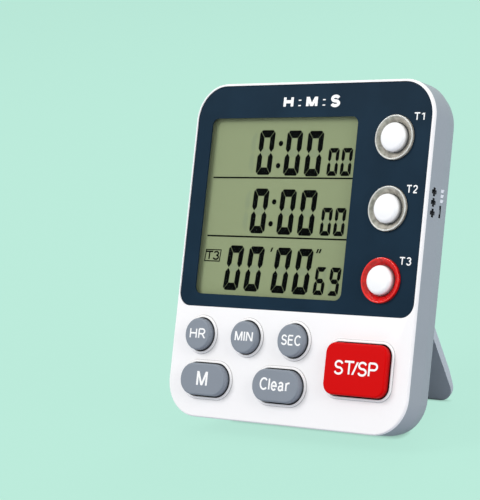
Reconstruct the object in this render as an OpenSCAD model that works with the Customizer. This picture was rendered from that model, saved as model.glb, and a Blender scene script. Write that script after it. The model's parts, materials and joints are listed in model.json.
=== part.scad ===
// Three-channel bench timer: display, six function keys, three lit channel
// buttons, fold-out stand and a two-cell battery bay. Millimetres, +Z up,
// front towards -Y, standing on its rear edge and the stand's foot.
//
// Every piece is drawn in the case's own frame first: X to the right, Y up
// the face, Z out of the face with 0 at the front rim. "Depth" is -Z.
// stand_up() then leans the whole case back onto the table.

/* [Case] */
// Width of the case
case_w = 77.6; // [77:0.2:90]
// Height of the case, measured up the face
case_h = 89.8; // [89:0.2:100]
// Corner radius of the front outline
corner_r = 9.8; // [9:0.1:11]
// Wall of the rear shell
wall = 1.8; // [1.5:0.1:2]
// Depth of the cover's rim, where the grey shell begins
rim_t = 0.9; // [0.9:0.05:1.2]
// Thickness of the shell's edge where it laps round the cover
lap_t = 0.7; // [0.5:0.05:0.8]
// Depth of the fold where the side wall starts to lean in
fold_depth = 6.7; // [6:0.1:8]
// Depth of the second fold, where the back chamfer starts
bevel_depth = 11; // [10:0.1:12]
// Corner radius at the first fold
fold_r = 9.2; // [6:0.1:10]
// Corner radius at the second fold
bevel_r = 9.7; // [9:0.1:12]
// Corner radius of the back plane
back_r = 8; // [6:0.5:9]
// How far each fold is eased into a curve
fold_ease = 0.8; // [0.3:0.1:1.2]
// Inset of the back plane at the sides and the top
back_inset = 8.5; // [7.5:0.1:9.5]
// Inset of the back plane at the bottom
foot_inset = 2.6; // [2.2:0.1:3.5]
// Rounding of the cover's front edge
edge_r = 0.5; // [0.3:0.1:0.7]

/* [Front cover] */
// Thickness of the cover's face
cover_t = 2.2; // [2:0.1:2.6]
// Depth of the lip that nests inside the shell
lip_depth = 4; // [3.4:0.1:4.4]
// Thickness of that lip and of the display pocket's ribs
lip_t = 1.2; // [1:0.1:1.5]
// Rim left round the dark face panel
panel_margin = 0.7; // [0.5:0.1:1.2]
// Height of the panel's lower edge up the face
panel_y = 29.5; // [29:0.1:31]
// Radius of the panel's lower corners
panel_foot_r = 3.7; // [2:0.1:5]
// Thickness of the face panel
panel_t = 0.4; // [0.3:0.05:0.5]
// Depth of the panel's face below the rim
panel_drop = 0.3; // [0.2:0.05:0.3]

/* [Display] */
// Width of the display opening
window_w = 48.6; // [44:0.2:49]
// Height of the display opening
window_h = 47.5; // [43:0.5:48]
// Left edge of the opening from the case's left side
window_x = 5.6; // [5.4:0.1:6.4]
// Lower edge of the opening up the face
window_y = 32.9; // [32.8:0.1:34]
// Corner radius of the opening
window_r = 2; // [1:0.1:3]
// Thickness of the clear window
window_t = 0.6; // [0.5:0.1:0.8]
// Gap between the window and the display glass
window_gap = 0.5; // [0.3:0.1:0.8]
// How far the glass runs past the opening
glass_margin = 1.6; // [1.2:0.1:1.6]
// Thickness of each of the display's two glass plates
glass_t = 1.1; // [0.7:0.1:1.1]
// Height of the contact ledge on the front glass
ledge = 3; // [2.6:0.1:3.4]
// Thickness of the reflector film
film_t = 0.15; // [0.1:0.05:0.2]
// Thickness of the frame behind the display
frame_t = 1; // [0.8:0.1:1.4]

/* [Keys] */
// Height of the key caps above the face
key_rise = 2.3; // [1.6:0.1:2.6]
// Diameter of the three round key holes
round_key_d = 9.1; // [8:0.1:9.4]
// Width of the two long key holes
long_key_w = 15.9; // [14:0.1:16.2]
// Width of the start key's hole
start_key_w = 19.4; // [17:0.1:19.6]
// Height of the start key's hole
start_key_h = 13.8; // [12:0.1:14]
// Corner radius of the start key's hole
start_key_r = 3.1; // [2:0.1:4]
// Distance between the round keys
key_pitch = 15.6; // [15:0.1:16.2]
// Clearance round each key cap
key_fit = 0.3; // [0.1:0.05:0.4]
// Travel of every key and button
key_travel = 0.5; // [0.3:0.05:0.5]
// Rounding of the cap's top edge
key_edge = 0.5; // [0.4:0.1:0.9]
// Width of the raised bead round each key hole
bead_w = 0.7; // [0.5:0.1:1]
// Height of that bead above the face
bead_h = 0.2; // [0.1:0.05:0.4]
// Width of the bead's outer slope
bead_slope = 0.35; // [0.2:0.05:0.45]

/* [Channel buttons] */
// Distance of the three lit rings from the case's right side
ring_x = 11.4; // [11:0.1:12]
// Height of the lowest ring up the face
ring_y = 38.6; // [38:0.1:40]
// Distance between rings
ring_pitch = 18.1; // [17:0.1:18.4]
// Outer diameter of a ring
ring_d = 11.5; // [11:0.1:12]
// Diameter of a button cap
cap_d = 7.5; // [7:0.1:8]
// Rounding of a button cap's edge
cap_edge = 1; // [0.6:0.1:1.2]
// Rise of a button cap's crown over its width
cap_crown = 0.3; // [0.1:0.05:0.4]
// Height of the button's crown above the rim
cap_rise = 1.8; // [1:0.1:2.2]
// Height of the ring's crest above the rim
crest_rise = 0.5; // [0.3:0.1:0.7]

/* [Board] */
// Thickness of the circuit board
board_t = 1.2; // [1:0.1:1.6]
// Side of a switch body
switch_w = 5.2; // [4.6:0.1:5.2]
// Height of a switch body
switch_h = 1.2; // [1:0.1:1.3]
// Diameter of a switch plunger
plunger_d = 2; // [1.6:0.1:2.4]

/* [Battery bay] */
// Diameter of a cell
cell_d = 10.5; // [10:0.1:10.5]
// Length of a cell over its terminal
cell_l = 44.5; // [44:0.1:44.5]
// Distance between the cells' axes
cell_pitch = 11.2; // [10.8:0.1:11.4]
// Height of the bay's centre up the face
bay_y = 65; // [64.5:0.1:66]
// Space for the springs and terminals beside a cell
contact_room = 7.5; // [6:0.1:7.5]
// Thickness of the battery door
door_t = 1.4; // [1.2:0.1:1.6]
// Overlap of the door past the bay
door_lap = 1.4; // [1.2:0.1:1.4]

/* [Stand] */
// Width of the stand
stand_w = 48.6; // [40:0.2:50]
// Length of the stand from its hinge pins
stand_l = 40.8; // [38:0.1:41.4]
// Thickness of the stand
stand_t = 2; // [1.6:0.1:2]
// Radius of the stand's lower corners
stand_r = 5; // [4:0.5:10]
// Length over which the stand thins towards its foot
toe_l = 9; // [6:0.5:12]
// Thickness of the stand at its foot
toe_t = 0.8; // [0.6:0.1:1.4]
// Height of the hinge pins up the face
hinge_y = 42.9; // [42.8:0.1:44]
// Angle between the open stand and the back plane
stand_open = 40.3; // [35:0.1:45]
// Diameter of the hinge pins
pin_d = 2; // [1.6:0.1:2]
// Length of each hinge pin
pin_l = 1.5; // [1.2:0.1:1.8]

/* [Fastenings] */
// Diameter of the case screws' shanks
screw_d = 2; // [1.8:0.1:2.2]
// Length of the case screws under the head
screw_l = 6.5; // [5.5:0.5:7]
// Diameter of the board screws' shanks
board_screw_d = 1.4; // [1.2:0.1:1.6]

/* [Hidden] */
$fn = 64;
hull_fn = 48;
// Running clearance, seat clearance and the overshoot of cutting bodies
run = 0.05;
seat = 0.1;
loose = 0.25;
over = 1;

// Depths of the stack, from the face to the back plane
panel_back = panel_drop + panel_t;
window_back = panel_back + window_t;
glass_front = window_back + window_gap;
film_front = glass_front + 2 * glass_t;
frame_front = film_front + film_t + run;
board_front = frame_front + frame_t;
board_back = board_front + board_t;
plunger_top = board_front - switch_h - key_travel - seat;
flange_t = 0.7;
flange_w = 0.7;
bay_front = board_back + 0.4;
bay_floor_t = 1;
bay_floor = bay_front + bay_floor_t;
cell_depth = bay_floor + 0.2 + cell_d / 2;
door_front = cell_depth + cell_d / 2 + seat;
case_d = door_front + door_t;
boss_depth = 9;
fold_inset = 0.2;
back_round = 0.8;
head_depth = boss_depth + 1.6;

// Display centre, key places and button places on the face
glass_w = window_w + 2 * glass_margin;
glass_h = window_h + 2 * glass_margin;
display_x = -case_w / 2 + window_x + window_w / 2;
display_y = window_y + window_h / 2;
rear_glass_h = glass_h - 2 * ledge;
zebra_y = (rear_glass_h + ledge) / 2;
zebra_w = ledge - 0.5;
zebra_l = glass_w - 3;
// Keys from the case's left side, the start key from its right side, and up the face
hour_key_x = 10.2;
memory_key_x = 13.5;
clear_key_x = 38;
start_key_x = 15.1;
round_key_y = 21.9;
long_key_y = 10;
start_key_y = 15.75;
long_key_h = round_key_d;
first_key_x = hour_key_x - case_w / 2;
// [x, y, width, height, corner radius] of each key hole, in the order of NODES
KEYS = [
    [first_key_x, round_key_y, round_key_d, round_key_d, round_key_d / 2],
    [first_key_x + key_pitch, round_key_y, round_key_d, round_key_d, round_key_d / 2],
    [first_key_x + 2 * key_pitch, round_key_y, round_key_d, round_key_d, round_key_d / 2],
    [memory_key_x - case_w / 2, long_key_y, long_key_w, long_key_h, long_key_h / 2],
    [clear_key_x - case_w / 2, long_key_y, long_key_w, long_key_h, long_key_h / 2],
    [case_w / 2 - start_key_x, start_key_y, start_key_w, start_key_h, start_key_r]
];
channel_x = case_w / 2 - ring_x;
function channel(i) = [channel_x, ring_y + (3 - i) * ring_pitch];
ring_r = ring_d / 2;
spigot_r = ring_r - 0.4;
spigot_back = board_front - 1;
cap_r = cap_d / 2;
cap_fit = 0.15;
stem_r = plunger_d / 2 + 0.5;
cap_flange_r = cap_r + 0.65;
collar_depth = cover_t - 0.2;

// Screws through the back into the cover, and through the board
upper_screw = [case_w / 2 - corner_r, case_h - 5];
lower_screw = [11.8, 7];
CASE_SCREWS = [for (p = [upper_screw, lower_screw], s = [1, -1]) [s * p[0], p[1]]];
board_screw_x = channel_x + 3.5;
BOARD_SCREWS = [
    [board_screw_x, ring_y + ring_pitch / 2],
    [board_screw_x, ring_y + 1.5 * ring_pitch],
    [first_key_x + key_pitch / 2, panel_y - 2.4],
    [10.6, panel_y - 2.8]
];
boss_r = 2.4;
post_r = 3.4;
well_r = 2.5;
head_r = 2.1;
head_t = 1.5;
board_boss_r = 1.8;
board_head_r = 1.6;
board_head_t = 0.9;
lip_inset = wall + fold_inset + seat;
board_margin = lip_inset + lip_t + 0.2;

// Battery bay and door
bay_l = cell_l + contact_room;
bay_h = cell_pitch + cell_d + 0.5;
bay_wall = wall;
door_l = bay_l + 2 * door_lap;
door_h = bay_h + 2 * door_lap;
door_y = bay_y - door_h / 2;
contact_t = 0.4;
contact_w = 8.4;
solder_w = 2.4;
dimple_l = 1.2;
terminal_l = 1;
terminal_r = 1.9;
cell_end = bay_l / 2 - seat - contact_t - dimple_l - run;
tab_x = 16;
tab_w = 7;
tab_reach = 1.5;
notch_r = 1.6;
spring_turns = 4;
spring_wire_r = 0.35;

// Stand, its recess in the back and the angle at which the case rests
stand_drop = 0.6;
hinge_depth = case_d - stand_drop - stand_t / 2;
recess_gap = 0.3;
recess_depth = hinge_depth - stand_t / 2 - recess_gap;
recess_w = stand_w + 2 * recess_gap;
recess_floor_t = 1.6;
stand_heel = (stand_t / 2 + recess_gap - stand_t / 2 * cos(stand_open)) / sin(stand_open) - 0.03;
recess_top = hinge_y + norm([stand_heel, stand_t / 2]) + loose;
rest_edge = [foot_inset - 1, back_round - case_d];
foot_edge = [
    hinge_y - stand_l * cos(stand_open) - stand_t / 2 * sin(stand_open),
    stand_t / 2 * cos(stand_open) - hinge_depth - stand_l * sin(stand_open)
];
lean = atan2(foot_edge[0] - rest_edge[0], rest_edge[1] - foot_edge[1]);
// Height and reach of a point of the case's frame once it leans
function height_of(y, z) = y * cos(lean) + z * sin(lean);
function reach_of(y, z) = y * sin(lean) - z * cos(lean);
floor_height = height_of(rest_edge[0], rest_edge[1]);
front_reach = min(reach_of(0, -edge_r), reach_of(long_key_y - long_key_h / 2 + key_edge, key_rise));
rear_reach = max(
    reach_of(case_h - back_inset, -case_d),
    reach_of(foot_edge[0], foot_edge[1]) + toe_t * cos(stand_open - lean)
);

// Outer sections of the shell: [depth, side and top inset, bottom inset, corner radius]
chamfer = back_inset - 1;
bevel_inset = 1.2;
bevel_foot = 0.6;
RIM = [rim_t, 0, 0, corner_r];
FOLD = [fold_depth, fold_inset, fold_inset, fold_r];
BEVEL = [bevel_depth, bevel_inset, bevel_foot, bevel_r];
SLOPE = [case_d - back_round, chamfer, foot_inset - 1, back_r + 1];
BACK = [case_d, back_inset, foot_inset, back_r];
// Three sections that ease the corner b of the wall between its neighbours a and c
function eased(a, b, c) =
    let (s = b + (a - b) * fold_ease / (b[0] - a[0]), e = b + (c - b) * fold_ease / (c[0] - b[0]))
    [s, (s + 2 * b + e) / 4, e];
SECTIONS = concat([RIM], eased(RIM, FOLD, BEVEL), eased(FOLD, BEVEL, SLOPE), [SLOPE, BACK]);
chamfer_slope = (chamfer - bevel_inset) / (case_d - back_round - bevel_depth);
chamfer_wall = wall * sqrt(1 + chamfer_slope * chamfer_slope);
inner_back = case_d - wall;
CAVITY = [
    [rim_t - over, wall, wall, corner_r - wall],
    [fold_depth, wall + fold_inset, wall + fold_inset, fold_r - wall],
    [bevel_depth, chamfer_wall + bevel_inset - 0.4, wall + bevel_foot, bevel_r - chamfer_wall],
    [
        inner_back, bevel_inset + chamfer_slope * (inner_back - bevel_depth) + chamfer_wall,
        foot_inset - 1 + wall, back_r + 1 - chamfer_wall
    ]
];

// Chip and crystal on the back of the board from the case's left side, buzzer from its right side
chip_x = 26.8;
chip_y = 40;
chip_r = 6.5;
chip_t = 0.6;
resin_t = 0.7;
resin_rim = 0.5;
resin_slope = 1.8;
crystal_x = 40.8;
crystal_y = 38;
crystal_r = 1.05;
crystal_l = 5.6;
buzzer_x = 14.8;
buzzer_y = 39.5;
buzzer_r = 6.5;
buzzer_h = 6;
led_w = 1.2;
led_l = 2;

// Sound holes and slide switch in the right wall
sound_y = 58.9;
sound_pitch = 2.65;
sound_depth = 3.25;
cross_l = 2.2;
cross_w = 1;
slot_y = 57;
slot_h = 3.1;
slot_w = 1;
slider_t = 0.6;
slider_depth = board_back + seat + slider_t / 2;
lever_h = 1.2;
slide_body_x = case_w / 2 - 8.3;
slide_body_w = 4.5;
slide_body_h = 7;

// ---------------------------------------------------------------- helpers

// Leans the case's frame back onto the table and centres it there
module stand_up() {
    translate([0, -(front_reach + rear_reach) / 2, -floor_height])
        rotate([90 - lean, 0, 0])
            children();
}

// Extrudes a face outline between two depths
module layer(front, back) {
    translate([0, 0, -back]) linear_extrude(back - front) children();
}

// Rectangle with four equal round corners, centred
module round_rect(w, h, r) {
    if (w - 2 * r > 0) square([w - 2 * r, h], center = true);
    if (h - 2 * r > 0) square([w, h - 2 * r], center = true);
    for (sx = [-1, 1], sy = [-1, 1])
        translate([sx * (w / 2 - r), sy * (h / 2 - r)]) circle(r);
}

// Rectangle on its lower edge, with one radius above and another below
module arch_rect(w, h, r_top, r_foot) {
    translate([-w / 2, r_foot]) square([w, h - r_top - r_foot]);
    translate([r_top - w / 2, h / 2]) square([w - 2 * r_top, h / 2]);
    translate([r_foot - w / 2, 0]) square([w - 2 * r_foot, h / 2]);
    for (s = [-1, 1]) {
        translate([s * (w / 2 - r_top), h - r_top]) circle(r_top);
        translate([s * (w / 2 - r_foot), r_foot]) circle(r_foot);
    }
}

// Outline of the case, inset at the sides and the top, and at the bottom
module case_outline(inset, foot, r) {
    translate([0, (case_h - inset + foot) / 2])
        round_rect(case_w - 2 * inset, case_h - inset - foot, r);
}

// Smooth body through a list of sections
module lofted(sections) {
    hull()
        for (s = sections)
            layer(s[0], s[0] + 0.01) case_outline(s[1], s[2], s[3], $fn = hull_fn);
}

// Circle with one quarter-round shoulder, for revolved caps
module shoulder(r, base, top, edge) {
    translate([0, base]) square([r - edge, top - base]);
    translate([0, base]) square([r, top - edge - base]);
    intersection() {
        translate([r - edge, top - edge]) circle(edge);
        translate([0, base]) square([r, top - base]);
    }
}

// Outline of key i, grown or shrunk by a margin
module key_outline(i, grow) {
    k = KEYS[i];
    translate([k[0], k[1]]) round_rect(k[2] + 2 * grow, k[3] + 2 * grow, k[4] + grow);
}

// Raised bead round key hole i, on the face
module key_bead(i) {
    k = KEYS[i];
    if (k[2] == k[3])
        translate([k[0], k[1], 0])
            cylinder(h = bead_h, r1 = k[2] / 2 + bead_w, r2 = k[2] / 2 + bead_w - bead_slope);
    else
        hull() {
            layer(-0.01, 0) key_outline(i, bead_w, $fn = hull_fn);
            layer(-bead_h, 0.01 - bead_h) key_outline(i, bead_w - bead_slope, $fn = hull_fn);
        }
}

// ------------------------------------------------------------ front pieces

module front_cover() {
    color("white") difference() {
        union() {
            hull() {
                layer(edge_r, rim_t) case_outline(0, 0, corner_r, $fn = hull_fn);
                for (a = [30, 60, 90]) {
                    back = edge_r * (1 - sin(a));
                    inset = edge_r * (1 - cos(a));
                    layer(back, back + 0.01)
                        case_outline(inset, inset, corner_r - inset, $fn = hull_fn);
                }
            }
            layer(rim_t, cover_t)
                case_outline(lap_t + run, lap_t + run, corner_r - lap_t - run);
            for (i = [0:len(KEYS) - 1]) key_bead(i);
            layer(cover_t, lip_depth) difference() {
                case_outline(lip_inset, lip_inset, corner_r - lip_inset);
                case_outline(lip_inset + lip_t, lip_inset + lip_t, corner_r - lip_inset - lip_t);
            }
            layer(cover_t, film_front) translate([display_x, display_y]) difference() {
                square([glass_w + 2 * lip_t, glass_h + 2 * lip_t], center = true);
                square([glass_w, glass_h], center = true);
            }
            layer(cover_t, boss_depth)
                for (p = CASE_SCREWS) translate(p) circle(boss_r);
            layer(cover_t, board_front)
                for (p = BOARD_SCREWS) translate(p) circle(board_boss_r);
        }
        layer(-over, panel_back) panel_outline(run);
        layer(panel_drop, film_front + over)
            translate([display_x, display_y]) square([glass_w + 2 * seat, glass_h + 2 * seat], center = true);
        for (i = [1:3])
            translate([channel(i)[0], channel(i)[1], -cover_t - over])
                cylinder(h = cover_t + over, r = spigot_r + run);
        layer(-over, cover_t + over)
            for (i = [0:len(KEYS) - 1]) key_outline(i, 0);
        for (p = CASE_SCREWS)
            translate([p[0], p[1], -boss_depth - over])
                cylinder(h = boss_depth + over - cover_t - 0.8, r = screw_d / 2 + run / 2);
        for (p = BOARD_SCREWS)
            translate([p[0], p[1], -board_front - over])
                cylinder(h = board_front + over - cover_t, r = board_screw_d / 2 + run / 2);
        layer(cover_t, lip_depth + over)
            translate([case_w / 2 - lip_inset - lip_t / 2, sound_y])
                square([2 * lip_t, 2 * sound_pitch + cross_l + 2], center = true);
    }
}

module panel_outline(grow) {
    w = case_w - 2 * panel_margin + 2 * grow;
    h = case_h - panel_margin - panel_y + 2 * grow;
    translate([0, panel_y - grow])
        arch_rect(w, h, corner_r - panel_margin + grow, panel_foot_r + grow);
}

module face_panel() {
    color("#22303f") layer(panel_drop, panel_back) difference() {
        panel_outline(0);
        translate([display_x, display_y]) round_rect(window_w, window_h, window_r);
        for (i = [1:3]) translate(channel(i)) circle(ring_r + seat);
    }
}

module display_window() {
    color("lightcyan", 0.4)
        layer(panel_back, window_back)
            translate([display_x, display_y]) round_rect(glass_w, glass_h, 1);
}

module light_ring(i) {
    color(i == 3 ? "red" : "lightgray")
        translate([channel(i)[0], channel(i)[1], 0]) rotate_extrude()
            polygon([
                [cap_r + cap_fit, -0.2],
                [cap_r + 0.35, -0.1],
                [ring_r - 0.55, crest_rise],
                [ring_r, -panel_drop + 0.1],
                [ring_r, -panel_back],
                [spigot_r, -panel_back],
                [spigot_r, -spigot_back],
                [cap_flange_r + cap_fit, -spigot_back],
                [cap_flange_r + cap_fit, -collar_depth],
                [cap_r + cap_fit, -collar_depth]
            ]);
}

module channel_button(i) {
    crown_r = cap_r * cap_r / (2 * cap_crown);
    color("white") translate([channel(i)[0], channel(i)[1], 0]) {
        rotate_extrude() intersection() {
            shoulder(cap_r, -collar_depth - run, cap_rise, cap_edge);
            translate([0, cap_rise - crown_r]) circle(crown_r);
        }
        translate([0, 0, -collar_depth - run - flange_t]) cylinder(h = flange_t, r = cap_flange_r);
        translate([0, 0, -plunger_top])
            cylinder(h = plunger_top - collar_depth - run, r = stem_r);
    }
}

// Cap, retaining flange and stem of key i
module key(i, paint) {
    k = KEYS[i];
    color(paint) {
        if (k[2] == k[3])
            translate([k[0], k[1], 0]) rotate_extrude()
                shoulder(k[2] / 2 - key_fit, -cover_t - run, key_rise, key_edge);
        else
            hull() {
                layer(key_edge - key_rise, cover_t + run) key_outline(i, -key_fit, $fn = hull_fn);
                for (a = [30, 60, 90]) {
                    top = key_rise - key_edge * (1 - sin(a));
                    layer(-top, 0.01 - top)
                        key_outline(i, -key_fit - key_edge * (1 - cos(a)), $fn = hull_fn);
                }
            }
        layer(cover_t + run, cover_t + run + flange_t) key_outline(i, flange_w);
        translate([k[0], k[1], -plunger_top])
            cylinder(h = plunger_top - cover_t - run, r = stem_r);
    }
}

// -------------------------------------------------------- display and board

module lcd_glass() {
    color("#95a17c") translate([display_x, display_y]) {
        layer(glass_front, glass_front + glass_t) square([glass_w, glass_h], center = true);
        layer(glass_front + glass_t, film_front) square([glass_w, rear_glass_h], center = true);
    }
}

module lcd_reflector() {
    color("silver")
        layer(film_front, film_front + film_t)
            translate([display_x, display_y]) square([glass_w - 1, rear_glass_h - 1], center = true);
}

module zebra_strip(side) {
    color("pink")
        layer(glass_front + glass_t, board_front)
            translate([display_x, display_y + side * zebra_y]) square([zebra_l, zebra_w], center = true);
}

module lcd_frame() {
    color("ivory") layer(frame_front, board_front) translate([display_x, display_y]) difference() {
        square([glass_w, glass_h], center = true);
        square([glass_w - 8, rear_glass_h - 8], center = true);
        for (s = [-1, 1])
            translate([0, s * zebra_y]) square([zebra_l + seat, zebra_w + seat], center = true);
    }
}

module main_board() {
    color("darkgreen") layer(board_front, board_back) difference() {
        case_outline(board_margin, board_margin, corner_r - board_margin);
        for (p = CASE_SCREWS) translate(p) circle(boss_r + loose);
        for (p = BOARD_SCREWS) translate(p) circle(board_screw_d / 2 + seat);
    }
}

function switch_place(i) = i < len(KEYS) ? [KEYS[i][0], KEYS[i][1]] : channel(i - len(KEYS) + 1);
SWITCHES = [for (i = [0:len(KEYS) + 2]) switch_place(i)];

module tact_switches() {
    color("dimgray") for (p = SWITCHES) translate([p[0], p[1], -board_front]) difference() {
        translate([-switch_w / 2, -switch_w / 2, 0]) cube([switch_w, switch_w, switch_h]);
        translate([0, 0, seat]) cylinder(h = switch_h, r = plunger_d / 2 + run);
    }
}

module plunger(i) {
    color("black")
        translate([SWITCHES[i][0], SWITCHES[i][1], key_travel + 2 * seat - board_front])
            cylinder(h = board_front - plunger_top - key_travel - 2 * seat, r = plunger_d / 2);
}

module indicator_leds() {
    r = (cap_flange_r + cap_fit + spigot_r) / 2;
    color("gold") for (i = [1:3])
        translate([channel(i)[0] + r, channel(i)[1], -board_front])
            translate([-led_w / 2, -led_l / 2, 0]) cube([led_w, led_l, board_front - spigot_back - seat]);
}

module controller_chip() {
    resin_r = chip_r - resin_rim;
    color("#222222") translate([chip_x - case_w / 2, chip_y, -board_back]) mirror([0, 0, 1]) {
        cylinder(h = chip_t, r = chip_r);
        translate([0, 0, chip_t]) cylinder(h = resin_t, r1 = resin_r, r2 = resin_r - resin_slope);
    }
}

module crystal() {
    color("silver")
        translate([crystal_x - case_w / 2, crystal_y, -board_back - crystal_r - run]) rotate([-90, 0, 0]) {
            cylinder(h = crystal_l, r = crystal_r);
            for (s = [-1, 1]) translate([s * 0.45, 0, -1.4]) cylinder(h = 1.4, r = 0.2);
        }
}

module buzzer() {
    color("black") translate([case_w / 2 - buzzer_x, buzzer_y, -board_back]) mirror([0, 0, 1]) difference() {
        cylinder(h = buzzer_h, r = buzzer_r);
        translate([0, 0, buzzer_h - 2]) cylinder(h = 2 + over, r = 1);
    }
}

module board_screws() {
    color("silver") for (p = BOARD_SCREWS) translate([p[0], p[1], -board_back]) {
        translate([0, 0, -board_head_t]) cylinder(h = board_head_t, r = board_head_r);
        cylinder(h = board_back - cover_t - 0.4, r = board_screw_d / 2);
    }
}

module mode_switch_body() {
    color("silver") difference() {
        translate([slide_body_x, slot_y - slide_body_h / 2, -board_back - 2.2])
            cube([slide_body_w, slide_body_h, 2.2]);
        translate([slide_body_x + 1.5, slot_y - slot_h / 2 - 1, -slider_depth - slider_t / 2 - seat])
            cube([slide_body_w, slot_h + 2, slider_depth]);
    }
}

module mode_switch_slider() {
    color("#4a4a4a") layer(slider_depth - slider_t / 2, slider_depth + slider_t / 2) {
        translate([slide_body_x + 1.7, slot_y - lever_h]) square([slide_body_w - 1.9, 2 * lever_h]);
        translate([slide_body_x + 2, slot_y - lever_h / 2])
            square([case_w / 2 - slide_body_x - 2.5, lever_h]);
    }
}

// ------------------------------------------------------------- rear pieces

// Box in the case's frame, centred on X, between two heights and two depths
module block(w, y0, y1, front, back) {
    translate([-w / 2, y0, -back]) cube([w, y1 - y0, back - front]);
}

module rear_shell() {
    color("#9aa0aa") difference() {
        lofted(SECTIONS);
        layer(rim_t - over, cover_t + run) case_outline(lap_t, lap_t, corner_r - lap_t);
        difference() {
            lofted(CAVITY);
            block(bay_l + 2 * bay_wall, bay_y - bay_h / 2 - bay_wall, bay_y + bay_h / 2 + bay_wall,
                bay_front, case_d);
            block(recess_w + 2 * pin_l + 2, -over, recess_top + recess_floor_t,
                recess_depth - recess_floor_t, case_d);
            for (p = CASE_SCREWS)
                translate([p[0], p[1], -case_d]) cylinder(h = case_d - boss_depth, r = post_r);
        }
        battery_bay();
        block(recess_w, -over, recess_top, recess_depth, case_d + over);
        for (s = [-1, 1])
            translate([s * recess_w / 2, hinge_y, -hinge_depth]) rotate([0, s * 90, 0])
                translate([0, 0, -over]) cylinder(h = pin_l + loose + over, r = pin_d / 2 + run);
        for (p = CASE_SCREWS) translate([p[0], p[1], 0]) {
            translate([0, 0, -case_d]) cylinder(h = case_d, r = screw_d / 2 + seat);
            translate([0, 0, -case_d - over]) cylinder(h = case_d + over - head_depth, r = well_r);
        }
        side_openings();
    }
}

// Everything cut for the cells, their contacts and the door
module battery_bay() {
    low = bay_y - bay_h / 2;
    block(bay_l, low, low + bay_h, bay_floor, case_d + over);
    layer(door_front - run, case_d + over)
        translate([0, bay_y]) round_rect(door_l + 2 * loose, door_h + 2 * loose, 1.5 + loose);
    for (s = [-1, 1])
        translate([s * tab_x, 0, 0])
            block(tab_w + 2 * loose, low - bay_wall - over, low + over, door_front - 2.2, door_front);
    translate([0, bay_y + door_h / 2, -case_d]) sphere(notch_r);
    for (x = [1, -1], s = [-1, 1])
        translate([x * (bay_l / 2 - seat - contact_t / 2), bay_y + s * cell_pitch / 2, -bay_floor - over])
            translate([-contact_t / 2 - seat, -solder_w / 2 - seat, 0])
                cube([contact_t + 2 * seat, solder_w + 2 * seat, bay_floor_t + 2 * over]);
}

// Sound holes and the slide switch's slot through the right wall
module side_openings() {
    x = case_w / 2 - wall - over;
    for (i = [-1:1])
        translate([x, sound_y + i * sound_pitch, -sound_depth]) {
            translate([0, -cross_w / 2, -cross_l / 2]) cube([wall + 2 * over, cross_w, cross_l]);
            translate([0, -cross_l / 2, -cross_w / 2]) cube([wall + 2 * over, cross_l, cross_w]);
        }
    translate([x, slot_y - slot_h / 2, -slider_depth - slot_w / 2])
        cube([wall + 2 * over, slot_h, slot_w]);
}

module case_screws() {
    color("silver") for (p = CASE_SCREWS) translate([p[0], p[1], -head_depth]) {
        cylinder(h = screw_l, r = screw_d / 2);
        translate([0, 0, -head_t]) difference() {
            cylinder(h = head_t, r = head_r);
            translate([-0.3, -1.5, -over]) cube([0.6, 3, over + 0.7]);
            translate([-1.5, -0.3, -over]) cube([3, 0.6, over + 0.7]);
        }
    }
}

// Plate of one terminal, its solder tab and, where positive, its dimple
module contact_plate(side, row, dimple) {
    y = bay_y + row * cell_pitch / 2;
    translate([side * (bay_l / 2 - seat - contact_t / 2), y, 0]) {
        block_x(contact_t, contact_w, bay_floor + 0.4, door_front - 1.2);
        block_x(contact_t, solder_w, board_back + run, bay_floor + over);
        if (dimple)
            translate([0, 0, -cell_depth]) rotate([0, -side * 90, 0])
                cylinder(h = contact_t / 2 + dimple_l, r1 = 2.6, r2 = 1.8);
    }
}

// Thin upright plate centred on X and Y, between two depths
module block_x(t, w, front, back) {
    translate([-t / 2, -w / 2, -back]) cube([t, w, back - front]);
}

// Conical spring from a contact plate to a cell's flat end
module spring(side, row) {
    steps = 14 * spring_turns;
    sides = 6;
    length = bay_l / 2 - seat - contact_t - (cell_l - cell_end) - 2 * run;
    rings = [for (i = [0:steps])
        let (t = i / steps, r = 4 - 1.6 * t, a = 360 * spring_turns * t,
            x = spring_wire_r * 0.8 + (length - 1.8 * spring_wire_r) * t)
        [for (k = [0:sides - 1])
            let (q = r + spring_wire_r * cos(360 * k / sides))
            [x + spring_wire_r * sin(360 * k / sides), q * cos(a), q * sin(a)]]];
    points = [for (ring = rings) for (p = ring) p];
    faces = concat(
        [[for (k = [0:sides - 1]) sides - 1 - k]],
        [[for (k = [0:sides - 1]) steps * sides + k]],
        [for (i = [0:steps - 1], k = [0:sides - 1])
            [i * sides + k, i * sides + (k + 1) % sides,
                (i + 1) * sides + (k + 1) % sides, (i + 1) * sides + k]]
    );
    translate([side * (bay_l / 2 - seat - contact_t), bay_y + row * cell_pitch / 2, -cell_depth])
        rotate([0, 0, side > 0 ? 180 : 0])
            polyhedron(points, faces, convexity = 8);
}

module positive_contact() {
    color("gold") contact_plate(1, 1, true);
}

module negative_contact() {
    color("gold") {
        contact_plate(1, -1, false);
        spring(1, -1);
    }
}

module bridge_contact() {
    color("gold") {
        contact_plate(-1, -1, true);
        contact_plate(-1, 1, false);
        translate([seat + contact_t / 2 - bay_l / 2, bay_y, 0])
            block_x(contact_t, cell_pitch, cell_depth - 2, cell_depth + 2);
        spring(-1, 1);
    }
}

// Cell with its raised terminal towards side
module cell(side, row) {
    color("goldenrod")
        translate([side * cell_end, bay_y + row * cell_pitch / 2, -cell_depth])
            rotate([0, -side * 90, 0]) {
                cylinder(h = terminal_l + over, r = terminal_r);
                translate([0, 0, terminal_l]) cylinder(h = cell_l - terminal_l, r = cell_d / 2);
            }
}

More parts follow.
